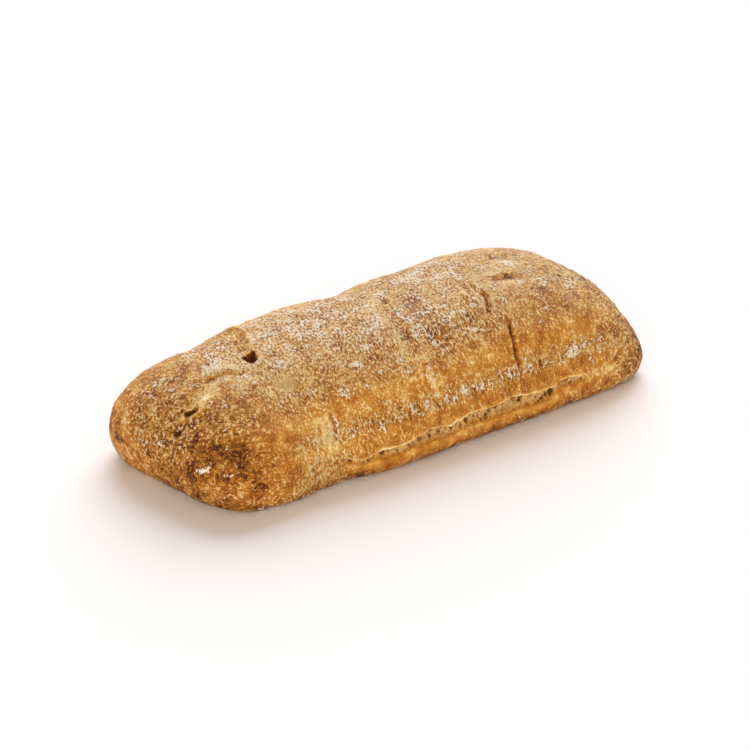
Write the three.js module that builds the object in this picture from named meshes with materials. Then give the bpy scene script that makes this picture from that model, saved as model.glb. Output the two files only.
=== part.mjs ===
// A ciabatta: one flat, wide loaf with a domed crown, a flat base and a long tear low on its near side.
// Millimetres, +Z up. X runs along the loaf, -Y is the torn side, and the base rests on z = 0.
import * as THREE from "three";

// Driving dimensions of the smooth loaf, before any relief.
const HALF_LENGTH = 125;
const HALF_WIDTH = 56;
const CROWN_RISE = 43.8; // crown above the widest line, at mid length
const WIDEST_LINE = 8; // height of the widest line above the table, at mid length
const LEFT_END_LIFT = 6.4; // extra height of the widest line at the left end
const BASE_INSET = { sides: 7, ends: 10 }; // how far the base is drawn in under the widest line
const WAIST = { x: -65, half: 22, depth: 4 }; // the near side is drawn in here
const LEFT_END_SLANT = -0.125; // the left end is cut askew: millimetres of x for each of y
const RIGHT_END_SLANT = -0.018;

// Exponents of the rounded outlines. A larger one is squarer.
const PLAN_CORNER = { nearLeft: 5.6, nearRight: 7.9, farLeft: 3.6, farRight: 5 };
const CROWN_FALL = { left: 2.94, right: 5.04, root: 2.285 };
const CROWN_SLOPE = { left: -0.02, right: 0.107 };
const SECTION = { near: { across: 2.35, up: 1.9 }, far: { across: 2.39, up: 2.48 } };

// Relief. "at" is [x along the loaf, millimetres over the crust from the near widest line].
// Lift is outwards, so a dip has a negative one.
const SWELLS = [
  { at: [-76, 121], radius: 12, lift: -2.6 }, // saddles along the far shoulder
  { at: [6, 113], radius: 14, lift: -2 },
  { at: [46, 116], radius: 13, lift: -1.1 },
  { at: [117, 40], radius: 22, lift: -1.1 }, // the right end is a little hollow
  { at: [-110, 82], radius: 12, lift: -1.2 },
  { at: [-108, 118], radius: 11, lift: -1.3 },
  { at: [-87, 112], radius: 7, lift: 0.9 },
  { at: [-72, 52], radius: 8, lift: -0.9 }, // thin pale windows and dimples in the crust
  { at: [-14, 36], radius: 6, lift: -0.8 },
  { at: [8, 46], radius: 6, lift: -1.5 },
  { at: [27, 45], radius: 6, lift: -1.2 },
  { at: [79, 87], radius: 7, lift: -1.4 },
  { at: [92, 53], radius: 7, lift: -1.1 },
  { at: [92, 30], radius: 5, lift: -0.9 },
  { at: [-123, 26], radius: 5, lift: 1 },
  { at: [-119, 15], radius: 5, lift: 0.9 },
  { at: [-40, 128], radius: 9, lift: -1.3 }, // the far side, dimpled like the near one
  { at: [34, 121], radius: 8, lift: -1.2 },
  { at: [88, 132], radius: 10, lift: -1.1 },
];
const TORN_BLISTERS = [
  { at: [-74, 76], radius: 4, depth: 4.6, lip: 2.4, lipAt: [-60, 103] },
  { at: [-112, 66], radius: 3.4, depth: 3.4, lip: 1.3, lipAt: [-103, 67] },
];
const CREASES = [
  { path: [[6, 88], [2, 72], [-6, 48], [-5, 30], [-9, 12]], width: 6, depth: 1.3 },
  { path: [[48, 66], [41, 50], [43, 34], [40, 14]], width: 5, depth: 1.1 },
  { path: [[53, 68], [63, 67], [73, 64]], width: 7, depth: 1.6 },
  { path: [[-61, 29], [-63, 17], [-76, 6]], width: 6, depth: 1.2 },
  { path: [[-80, 66], [-88, 74], [-100, 78]], width: 6, depth: 1.3 },
  { path: [[22, 108], [26, 128], [24, 146]], width: 6, depth: 1.2 },
  { path: [[-34, 104], [-31, 124], [-35, 142]], width: 6, depth: 1.1 },
];
// The side tear: its middle line, and how high it gapes there.
const TEARS = [
  { path: [[-64, 6], [-50, 2], [-31, 2.8], [-14, 4.2], [10, 5], [36, 4.8], [58, 3.6]], gape: 5.4, depth: 2.8 },
  { path: [[60, 7.6], [69, 6.6], [78, 4.8]], gape: 2.6, depth: 2 },
];
const TEAR_LIP = { lift: 1, width: 3 }; // the crust stands proud above the tear
const CRAGS = { size: 3.4, depth: 0.9 };
const UNEVENNESS = [
  { size: 34, lift: 0.7 },
  { size: 13, lift: 0.45 },
  { size: 6.5, lift: 0.28 },
];
const RELIEF_FADE = 3; // relief dies away over this height, so that the base stays flat

// Fineness of the mesh.
const CELLS_ALONG = 86;
const CELLS_ACROSS = 48;
const TUCK_ROWS = 3;
const TEAR_ROW_PACKING = 0.48; // draws rows towards the near side, where the tear is

const clamp01 = (value) => Math.min(1, Math.max(0, value));
const smooth = (value) => value * value * (3 - 2 * value);
const fall = (distance, radius) => Math.exp(-((distance / radius) ** 2));
const rounded = (reach, exponent) => (1 - Math.min(1, reach) ** exponent) ** (1 / exponent);

// A repeatable number from 0 to 1 for each corner of a lattice.
function latticeValue(i, j, k, seed) {
  let mixed = Math.imul(i, 374761393) + Math.imul(j, 668265263) + Math.imul(k, 1274126177);
  mixed = Math.imul(mixed + Math.imul(seed, 974634777), 1103515245);
  mixed = Math.imul(mixed ^ (mixed >>> 15), 2246822519);
  mixed ^= mixed >>> 13;
  return (mixed >>> 0) / 4294967295;
}

// Smooth noise from -1 to 1 whose bumps are about "size" millimetres apart.
function noise(point, size, seed) {
  const cell = point.clone().divideScalar(size);
  const low = cell.clone().floor();
  const share = cell.sub(low);
  let sum = 0;
  for (let corner = 0; corner < 8; corner++) {
    const [di, dj, dk] = [corner & 1, (corner >> 1) & 1, corner >> 2];
    const weight =
      smooth(di ? share.x : 1 - share.x) *
      smooth(dj ? share.y : 1 - share.y) *
      smooth(dk ? share.z : 1 - share.z);
    sum += weight * latticeValue(low.x + di, low.y + dj, low.z + dk, seed);
  }
  return 2 * sum - 1;
}

const cornerOf = (along, across) =>
  across < 0
    ? along < 0
      ? PLAN_CORNER.nearLeft
      : PLAN_CORNER.nearRight
    : along < 0
      ? PLAN_CORNER.farLeft
      : PLAN_CORNER.farRight;

const widestHeight = (along) => WIDEST_LINE + (along < 0 ? LEFT_END_LIFT : 0) * along ** 4;

// From shares of the half length and half width to millimetres, with the ends askew.
function inPlace(along, across, height) {
  const waist = WAIST.depth * fall(along * HALF_LENGTH - WAIST.x, WAIST.half);
  const y = across * HALF_WIDTH + Math.max(0, -across) * waist;
  const slant = (along < 0 ? LEFT_END_SLANT : RIGHT_END_SLANT) * along * along;
  return new THREE.Vector3(along * HALF_LENGTH + slant * y, y, height);
}

// How far round the section a place lies: 0 at the near widest line, PI at the far one.
function sectionAngle(along, across) {
  const { across: exponent } = across < 0 ? SECTION.near : SECTION.far;
  const width = rounded(Math.abs(along), cornerOf(along, across));
  const share = width > 0 ? Math.min(1, Math.abs(across) / width) : 0;
  const angle = Math.acos(share ** (exponent / 2));
  return across < 0 ? angle : Math.PI - angle;
}

// A place on the smooth crust, at a section angle.
function crust(along, angle) {
  const reach = Math.abs(along);
  const side = angle < Math.PI / 2 ? -1 : 1;
  const section = side < 0 ? SECTION.near : SECTION.far;
  const end = along < 0 ? "left" : "right";
  const crown =
    CROWN_RISE *
    (1 - Math.min(1, reach) ** CROWN_FALL[end]) ** (1 / CROWN_FALL.root) *
    (1 + CROWN_SLOPE[end] * reach);
  const across = side * rounded(reach, cornerOf(along, side)) * Math.abs(Math.cos(angle)) ** (2 / section.across);
  return inPlace(along, across, widestHeight(along) + crown * Math.sin(angle) ** (2 / section.up));
}

// Millimetres over the crust at mid length, against the section angle.
const GIRTH_STEPS = 720;
const girth = [0];
for (let step = 1; step <= GIRTH_STEPS; step++) {
  const [from, to] = [step - 1, step].map((n) => crust(0, (Math.PI * n) / GIRTH_STEPS));
  girth.push(girth[step - 1] + from.distanceTo(to));
}

function girthAt(angle) {
  const step = (angle / Math.PI) * GIRTH_STEPS;
  const low = Math.min(GIRTH_STEPS - 1, Math.floor(step));
  return girth[low] + (girth[low + 1] - girth[low]) * (step - low);
}

function angleAt(distance) {
  const step = Math.max(1, girth.findIndex((reached) => reached >= distance));
  const share = (distance - girth[step - 1]) / (girth[step] - girth[step - 1]);
  return (Math.PI * (step - 1 + share)) / GIRTH_STEPS;
}

const onCrust = ([x, over]) => crust(x / HALF_LENGTH, Math.max(0, angleAt(over)));

// Distance from a point to a path of points, and how far along it that is.
function nearestOnPath(point, path) {
  let best = { distance: Infinity, share: 0, above: 0 };
  const nearest = new THREE.Vector3();
  for (let i = 0; i + 1 < path.length; i++) {
    const piece = new THREE.Line3(path[i], path[i + 1]);
    const share = piece.closestPointToPointParameter(point, true);
    piece.at(share, nearest);
    const distance = nearest.distanceTo(point);
    if (distance < best.distance)
      best = { distance, share: (i + share) / (path.length - 1), above: point.z - nearest.z };
  }
  return best;
}

const swells = SWELLS.map(({ at, ...rest }) => ({ place: onCrust(at), ...rest }));
const creases = CREASES.map(({ path, ...rest }) => ({ path: path.map(onCrust), ...rest }));
const tears = TEARS.map(({ path, ...rest }) => ({ path: path.map(onCrust), ...rest }));
const blisters = TORN_BLISTERS.map(({ at, lipAt, ...rest }) => ({
  hole: onCrust(at),
  torn: onCrust(lipAt),
  ...rest,
}));

// How deep the tears and their crumb crags go at a place, less the lip that stands proud above them.
function tearRelief(point) {
  let lift = 0;
  for (const { path, gape, depth } of tears) {
    const { distance, share, above } = nearestOnPath(point, path);
    const taper = Math.min(1, 5 * share, 7 * (1 - share)) ** 0.5;
    const ragged = 1 + 0.35 * noise(point, 5, 11);
    const half = (gape / 2) * taper * ragged;
    const inside = smooth(clamp01((half + 0.8 - distance) / 1.6));
    lift -= inside * (depth * taper + CRAGS.depth * noise(point, CRAGS.size, 12));
    if (above > 0)
      lift += (1 - inside) * TEAR_LIP.lift * taper * fall(distance - half, TEAR_LIP.width);
  }
  return lift;
}

function relief(point) {
  let lift = 0;
  for (const { place, radius, lift: rise } of swells) lift += rise * fall(point.distanceTo(place), radius);
  for (const { path, width, depth } of creases) {
    const { distance, share } = nearestOnPath(point, path);
    lift -= depth * fall(distance, width / 2) * Math.min(1, 4 * share + 0.3, 4 * (1 - share) + 0.3);
  }
  for (const { hole, torn, radius, depth, lip } of blisters) {
    lift += lip * fall(point.distanceTo(torn), 1.6 * radius);
    lift -= depth * fall(point.distanceTo(hole), radius) ** 1.4;
  }
  UNEVENNESS.forEach(({ size, lift: rise }, octave) => {
    lift += rise * noise(point, size, octave + 1);
  });
  return lift + tearRelief(point);
}

// The crust is one grid, laid over the loaf like a cloth, whose border is the widest line.
function crustGrid() {
  const rows = [];
  for (let j = 0; j <= CELLS_ACROSS; j++) {
    const even = (2 * j) / CELLS_ACROSS - 1;
    const q = even < 0 ? -1 + (1 + even) * (1 + TEAR_ROW_PACKING * even) : even;
    const row = [];
    for (let i = 0; i <= CELLS_ALONG; i++) {
      const p = (2 * i) / CELLS_ALONG - 1;
      const ring = Math.max(Math.abs(p), Math.abs(q));
      const corner = cornerOf(p, q);
      const spread = (Math.abs(p) ** corner + Math.abs(q) ** corner) ** (1 / corner);
      const reach = ring > 0 ? Math.sin((ring * Math.PI) / 2) / spread : 0;
      row.push(crust(p * reach, sectionAngle(p * reach, q * reach)));
    }
    rows.push(row);
  }
  return rows;
}

// The border of a grid as one loop, anticlockwise seen from above, as indices.
function borderOf(across, along) {
  const at = (j, i) => j * (along + 1) + i;
  const loop = [];
  for (let i = 0; i < along; i++) loop.push(at(0, i));
  for (let j = 0; j < across; j++) loop.push(at(j, along));
  for (let i = along; i > 0; i--) loop.push(at(across, i));
  for (let j = across; j > 0; j--) loop.push(at(j, 0));
  return loop;
}

// The smooth closed loaf: the crust, the tuck that curls under to the table, and the flat base.
function smoothLoaf() {
  const points = crustGrid().flat();
  const triangles = [];
  const quad = (a, b, c, d) => triangles.push(a, b, c, a, c, d);
  const at = (j, i) => j * (CELLS_ALONG + 1) + i;
  for (let j = 0; j < CELLS_ACROSS; j++)
    for (let i = 0; i < CELLS_ALONG; i++) {
      const cornerwise = i < CELLS_ALONG / 2 === j < CELLS_ACROSS / 2;
      if (cornerwise) quad(at(j, i), at(j, i + 1), at(j + 1, i + 1), at(j + 1, i));
      else quad(at(j, i + 1), at(j + 1, i + 1), at(j + 1, i), at(j, i));
    }

  let upper = borderOf(CELLS_ACROSS, CELLS_ALONG);
  const rim = upper.map((index) => points[index]);
  for (let row = 1; row <= TUCK_ROWS; row++) {
    const turn = (row / TUCK_ROWS) * (Math.PI / 2);
    const lower = rim.map((edge, n) => {
      const tangent = rim[(n + 1) % rim.length].clone().sub(rim.at(n - 1)).setZ(0).normalize();
      const inwards = new THREE.Vector3(-tangent.y, tangent.x, 0);
      const inset = THREE.MathUtils.lerp(BASE_INSET.sides, BASE_INSET.ends, Math.abs(inwards.x) ** 2);
      const tucked = edge.clone().addScaledVector(inwards, inset * (1 - Math.cos(turn)));
      points.push(tucked.setZ(edge.z * (1 - Math.sin(turn))));
      return points.length - 1;
    });
    lower.forEach((_, n) => {
      const next = (n + 1) % lower.length;
      quad(lower[n], lower[next], upper[next], upper[n]);
    });
    upper = lower;
  }

  points.push(new THREE.Vector3(0, 0, 0));
  const middle = points.length - 1;
  upper.forEach((index, n) => triangles.push(middle, upper[(n + 1) % upper.length], index));

  const geometry = new THREE.BufferGeometry().setFromPoints(points).setIndex(triangles);
  geometry.computeVertexNormals();
  return geometry;
}

function loafGeometry() {
  const geometry = smoothLoaf();
  const place = geometry.getAttribute("position");
  const outwards = geometry.getAttribute("normal");
  const point = new THREE.Vector3();
  const normal = new THREE.Vector3();
  for (let n = 0; n < place.count; n++) {
    point.fromBufferAttribute(place, n);
    normal.fromBufferAttribute(outwards, n);
    const lift = relief(point) * smooth(clamp01(point.z / RELIEF_FADE));
    place.setXYZ(n, ...point.addScaledVector(normal, lift));
  }
  geometry.computeBoundingBox();
  const middle = geometry.boundingBox.getCenter(new THREE.Vector3());
  geometry.translate(-middle.x, -middle.y, 0);
  geometry.computeVertexNormals();
  return geometry;
}

const bakedCrust = new THREE.MeshStandardMaterial({ color: "#c08a45", roughness: 0.75, metalness: 0 });

const loaf = new THREE.Mesh(loafGeometry(), bakedCrust);
loaf.name = "loaf";

const ciabatta = new THREE.Group();
ciabatta.add(loaf);
export default ciabatta;
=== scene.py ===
"""A floury ciabatta on a pale table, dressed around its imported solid.

The crust, the crumb that shows in its tears and the flour on it are built at true size, in the
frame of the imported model. Sizes in the classes are millimetres unless a name says otherwise.
"""

import itertools
import logging
import math
from dataclasses import dataclass, field
from enum import Enum, IntEnum

import bpy
import numpy as np
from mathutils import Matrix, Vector


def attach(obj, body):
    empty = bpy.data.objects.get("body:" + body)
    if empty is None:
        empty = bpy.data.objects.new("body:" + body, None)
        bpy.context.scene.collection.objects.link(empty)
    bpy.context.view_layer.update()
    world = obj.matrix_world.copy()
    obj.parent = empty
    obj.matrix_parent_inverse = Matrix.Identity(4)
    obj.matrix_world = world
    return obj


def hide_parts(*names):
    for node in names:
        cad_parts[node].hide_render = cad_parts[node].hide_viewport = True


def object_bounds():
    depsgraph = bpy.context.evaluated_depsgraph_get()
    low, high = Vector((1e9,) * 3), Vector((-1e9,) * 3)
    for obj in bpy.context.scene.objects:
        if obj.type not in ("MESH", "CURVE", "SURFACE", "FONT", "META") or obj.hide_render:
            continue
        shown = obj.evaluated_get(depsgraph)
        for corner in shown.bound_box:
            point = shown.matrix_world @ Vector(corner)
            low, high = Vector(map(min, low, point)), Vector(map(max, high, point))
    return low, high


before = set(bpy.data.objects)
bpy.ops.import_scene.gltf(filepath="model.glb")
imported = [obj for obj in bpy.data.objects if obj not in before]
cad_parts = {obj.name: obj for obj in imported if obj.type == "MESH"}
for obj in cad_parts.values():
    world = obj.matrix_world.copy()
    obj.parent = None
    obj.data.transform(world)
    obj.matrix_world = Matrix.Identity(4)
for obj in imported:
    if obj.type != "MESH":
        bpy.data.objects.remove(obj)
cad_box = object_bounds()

log = logging.getLogger("ciabatta")

Array = np.ndarray
Place = tuple[float, float]  # millimetres along the loaf, and over the crust from the near widest line
Span = tuple[float, float]  # where something starts and where it ends, or a pair as its comment says
MM = 0.001
GIRTH = 160.7  # over the crust at mid length, from one widest line to the other


# ---------------------------------------------------------------- small mathematics

TINY = 1e-12  # keeps a division by nothing from failing
WORD = 0xFFFFFFFF  # the largest whole number of 32 bits
LATTICE_STEPS = (374761393, 668265263, 1274126177, 974634777)  # for the three axes and the seed
MIXERS = (1103515245, 2246822519)


class Draw(IntEnum):
    """Which set of repeatable numbers each uneven thing is drawn from."""

    BROAD_SWELLS = 1
    SWELLS = 2
    SMALL_SWELLS = 3
    TEAR_JAGS = 11
    SMALL_TEAR_JAGS = 13
    TEAR_EDGE = 14
    FOLD_WANDER = 31
    BLISTER_RAGS = 41
    SMALL_BLISTER_RAGS = 42
    WRINKLE_BENDS = 51
    WRINKLES = 52
    SMALL_WRINKLES = 53
    GRAINS = 61
    LUMPS = 71
    SMALL_LUMPS = 72
    BROWN_CLOUDS = 74
    SMALL_BROWN_CLOUDS = 75
    PORES = 81
    CRUMB_RAGS = 83
    SMALL_CRUMB_RAGS = 84
    SMALL_PORES = 91


def smooth(value: Array) -> Array:
    """Eases a share from 0 to 1, and holds it at both ends."""
    held = np.clip(value, 0.0, 1.0)
    return held * held * (3 - 2 * held)


def ramp(value: Array, start: float, end: float) -> Array:
    """Eases from 0 at start to 1 at end, whichever is the larger."""
    return smooth((value - start) / (end - start))


def fall(distance: Array, radius: float) -> Array:
    """A round bump of height 1 that has fallen to about a third at radius."""
    return np.exp(-((distance / radius) ** 2))


def within(distance: Array, radius: float | Array, wall: Span) -> Array:
    """Eases from 0 outside a radius to 1 inside it, over a wall measured outwards from the radius."""
    return ramp(distance, radius + wall[0], radius + wall[1])


def tapered(share: Array, steepness: float, least: float) -> Array:
    """Falls from 1 towards both ends of a path, and ends at least above 0."""
    return np.minimum(1, np.minimum(steepness * share, steepness * (1 - share)) + least)


def lattice_value(i: Array, j: Array, k: Array, seed: int) -> Array:
    """Gives a repeatable number from 0 to 1 for each corner of a lattice, as the solid's source does.

    Args:
        i: The corners' first whole number.
        j: The second.
        k: The third.
        seed: Which set of numbers.

    Returns:
        One number for each corner.
    """
    word = np.uint64(WORD)
    i_step, j_step, k_step, seed_step = LATTICE_STEPS
    mixed = i * i_step + j * j_step + k * k_step + int(seed) * seed_step
    mixed = mixed.astype(np.int64).view(np.uint64) & word
    mixed = (mixed * np.uint64(MIXERS[0])) & word
    mixed = ((mixed ^ (mixed >> np.uint64(15))) * np.uint64(MIXERS[1])) & word
    mixed ^= mixed >> np.uint64(13)
    return mixed.astype(float) / WORD


def noise(points: Array, size: float | Array, seed: int) -> Array:
    """Smooth noise from -1 to 1.

    Args:
        points: Points in millimetres, one a row.
        size: How far apart the bumps are, for all axes or one each.
        seed: Which noise.

    Returns:
        One value for each point.
    """
    cell = points / size
    low = np.floor(cell)
    share = cell - low
    low = low.astype(np.int64)
    weights = (smooth(1 - share), smooth(share))
    total = np.zeros(len(points))
    for corner in range(8):
        step = (corner & 1, (corner >> 1) & 1, corner >> 2)
        weight = weights[step[0]][:, 0] * weights[step[1]][:, 1] * weights[step[2]][:, 2]
        total += weight * lattice_value(*(low[:, n] + step[n] for n in range(3)), seed)
    return 2 * total - 1


@dataclass(frozen=True)
class Uneven:
    """A layer of smooth unevenness: how far apart its bumps are, how high they are, and its draw."""

    size: float | tuple[float, float, float]
    rise: float
    draw: Draw

    def at(self, points: Array) -> Array:
        """Gives the layer's height at points."""
        return self.rise * noise(points, np.array(self.size), self.draw)


def layered(points: Array, layers: tuple[Uneven, ...], start: float = 0.0) -> Array:
    """Adds layers of unevenness to a first value, at points."""
    return sum((layer.at(points) for layer in layers), start)


def nearest_seed(points: Array, size: float, seed: int) -> tuple[Array, Array]:
    """Finds how far each point is from the nearest of the seeds scattered one to a cell.

    Args:
        points: Points in millimetres, one a row.
        size: How far apart the seeds are.
        seed: Which scatter.

    Returns:
        The distance as a share of size, and a number from 0 to 1 that belongs to that seed.
    """
    cell = points / size
    low = np.floor(cell).astype(np.int64)
    best = np.full(len(points), np.inf)
    own = np.zeros(len(points))
    for step in itertools.product((-1, 0, 1), repeat=3):
        at = [low[:, n] + step[n] for n in range(3)]
        spot = np.stack([at[n] + lattice_value(*at, seed + n) for n in range(3)], -1)
        distance = np.linalg.norm(spot - cell, axis=1)
        closer = distance < best
        best = np.where(closer, distance, best)
        own = np.where(closer, lattice_value(*at, seed + 3), own)
    return best, own


def path_distance(points: Array, path: Array) -> tuple[Array, Array, Array]:
    """Measures points against a path of straight pieces.

    Args:
        points: Points, one a row.
        path: The path's points, one a row.

    Returns:
        The distance to the path, how far along it that is from 0 to 1, and the height above it.
    """
    distance = np.full(len(points), np.inf)
    share = np.zeros(len(points))
    above = np.zeros(len(points))
    for n in range(len(path) - 1):
        piece = path[n + 1] - path[n]
        along = np.clip((points - path[n]) @ piece / (piece @ piece), 0, 1)
        nearest = path[n] + along[:, None] * piece
        reach = np.linalg.norm(points - nearest, axis=1)
        closer = reach < distance
        distance = np.where(closer, reach, distance)
        share = np.where(closer, (n + along) / (len(path) - 1), share)
        above = np.where(closer, points[:, 2] - nearest[:, 2], above)
    return distance, share, above


# ---------------------------------------------------------------- the loaf's form


@dataclass(frozen=True)
class LoafForm:
    """The smooth loaf, as the solid's source has it."""

    half_length: float = 125.0
    half_width: float = 56.0
    crown_rise: float = 43.8
    widest_line: float = 8.0  # its height above the table
    left_end_lift: float = 6.4  # how much higher it is at the left tip
    base_inset_sides: float = 7.0  # how far inside that line the flat base lies
    base_inset_ends: float = 10.0
    waist_x: float = -65.0
    waist_half: float = 22.0
    waist_depth: float = 4.0
    end_slants: tuple[float, float] = (-0.125, -0.018)  # how far the left and the right end lean along the loaf
    near_corners: tuple[float, float] = (5.6, 7.9)  # exponents of the plan's curve at the left and the right
    far_corners: tuple[float, float] = (3.6, 5.0)
    crown_falls: tuple[float, float] = (2.94, 5.04)  # how late the crown falls to the left and the right
    crown_root: float = 2.285  # how round those falls are
    crown_slopes: tuple[float, float] = (-0.02, 0.107)  # how much the crown gains towards each end
    near_section: tuple[float, float] = (2.35, 1.9)  # exponents of the section's curve, across and up
    far_section: tuple[float, float] = (2.39, 2.48)
    recentre: tuple[float, float] = (0.503, -0.092)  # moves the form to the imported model's middle
    girth_steps: int = 720

    def corner(self, along: Array, across: Array) -> Array:
        """Gives the exponent of the plan's corner that a place belongs to."""
        near = np.where(along < 0, *self.near_corners)
        far = np.where(along < 0, *self.far_corners)
        return np.where(across < 0, near, far)

    def width(self, along: Array, across: Array) -> Array:
        """Gives the plan's width at a share of the length, as a share of the full one."""
        corner = self.corner(along, across)
        return (1 - np.minimum(1, np.abs(along)) ** corner) ** (1 / corner)

    def place(self, along: Array, across: Array, height: Array) -> Array:
        """Turns shares of length and width into millimetres, with the waist and the askew ends."""
        waist = self.waist_depth * fall(along * self.half_length - self.waist_x, self.waist_half)
        y = across * self.half_width + np.maximum(0, -across) * waist
        x = along * self.half_length + np.where(along < 0, *self.end_slants) * along**2 * y
        return np.stack([x, y, height], -1)

    def section_angle(self, along: Array, across: Array) -> Array:
        """Tells how far round the section a place lies: 0 at the near widest line, pi at the far."""
        exponent = np.where(across < 0, self.near_section[0], self.far_section[0])
        width = self.width(along, across)
        share = np.where(width > 0, np.minimum(1, np.abs(across) / np.maximum(width, TINY)), 0)
        angle = np.arccos(share ** (exponent / 2))
        return np.where(across < 0, angle, math.pi - angle)

    def crust(self, along: Array, angle: Array) -> Array:
        """Gives points of the smooth crust.

        Args:
            along: Share of the half length, from -1 to 1.
            angle: Section angle, from 0 to pi.

        Returns:
            Points in millimetres, before the loaf is recentred.
        """
        along, angle = np.broadcast_arrays(np.asarray(along, float), np.asarray(angle, float))
        reach = np.minimum(1, np.abs(along))
        side = np.where(angle < math.pi / 2, -1.0, 1.0)
        crown = self.crown_rise * (1 - reach ** np.where(along < 0, *self.crown_falls)) ** (1 / self.crown_root)
        crown = crown * (1 + np.where(along < 0, *self.crown_slopes) * reach)
        across_power = 2 / np.where(side < 0, self.near_section[0], self.far_section[0])
        up_power = 2 / np.where(side < 0, self.near_section[1], self.far_section[1])
        across = side * self.width(along, side) * np.abs(np.cos(angle)) ** across_power
        rim = self.widest_line + np.where(along < 0, self.left_end_lift, 0) * along**4
        return self.place(along, across, rim + crown * np.abs(np.sin(angle)) ** up_power)

    def girth(self) -> tuple[Array, Array]:
        """Gives section angles, and the millimetres over the crust that each is at, at mid length."""
        angles = np.linspace(0, math.pi, self.girth_steps + 1)
        steps = np.linalg.norm(np.diff(self.crust(0.0, angles), axis=0), axis=1)
        return angles, np.concatenate([[0.0], np.cumsum(steps)])

    def over(self, angle: Array) -> Array:
        """Turns a section angle into millimetres over the crust."""
        angles, reached = self.girth()
        return np.interp(angle, angles, reached)

    def spot(self, places: list[Place] | Array) -> Array:
        """Gives the smooth crust's points at places along and over the loaf."""
        angles, reached = self.girth()
        at = np.asarray(places, float)
        return self.crust(at[:, 0] / self.half_length, np.interp(at[:, 1], reached, angles))

    def recentred(self, points: Array) -> Array:
        """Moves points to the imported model's frame."""
        return points + np.array([*self.recentre, 0.0])


# ---------------------------------------------------------------- what shapes and marks the crust


@dataclass(frozen=True)
class Swell:
    """A broad bump, or with a negative lift a dimple."""

    at: Place
    radius: float
    lift: float


@dataclass(frozen=True)
class Crease:
    """A fold in the skin of the dough."""

    path: tuple[Place, ...]
    width: float
    depth: float


@dataclass(frozen=True)
class TornBlister:
    """A blister whose skin has torn: a hole, the shallow bared place beside it, and its raised edge."""

    hole: tuple[Place, ...]  # its middle line
    hole_radius: float
    hole_depth: float
    bared: tuple[Place, ...]
    bared_width: float
    bared_depth: float
    lip: tuple[Place, ...]
    lip_lift: float


@dataclass(frozen=True)
class Tear:
    """A tear low on the side, where crumb shows between two lips."""

    path: tuple[Place, ...]
    gapes: tuple[float, ...]
    depth: float
    name: str
    caves: tuple[tuple[Place, float, float], ...] = ()  # deep holes: place, radius and depth


@dataclass(frozen=True)
class Patch:
    """A stain or dusting that fades outwards from one place."""

    at: Place
    reach: Span  # along and over, to where it has fallen to about a third
    amount: float


SWELLS = (
    Swell((-76, 121), 12, -2.6),
    Swell((6, 113), 14, -2.0),
    Swell((46, 116), 13, -1.1),
    Swell((117, 40), 22, -1.1),
    Swell((-110, 82), 12, -1.2),
    Swell((-108, 118), 11, -1.3),
    Swell((-87, 112), 7, 0.9),
    Swell((-72, 52), 7, -0.9),
    Swell((-14, 36), 5, -0.8),
    Swell((6, 45), 4.2, -2.0),
    Swell((27, 46), 4.5, -1.2),
    Swell((79, 87), 6, -1.4),
    Swell((92, 53), 7, -1.1),
    Swell((92, 30), 5, -0.9),
    Swell((-122.5, 25), 3.0, 1.2),
    Swell((-118.5, 16), 3.0, 1.0),
    Swell((-62, 104), 8, 1.4),
    Swell((-69.6, 86.5), 1.9, -1.3),
    Swell((-67.6, 94), 1.7, -1.2),
    Swell((-120, 62), 3.4, -1.1),
    Swell((-109.5, 72.5), 3.0, -0.9),
    Swell((-40, 128), 9, -1.3),
    Swell((34, 121), 8, -1.2),
    Swell((88, 132), 10, -1.1),
)

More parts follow.
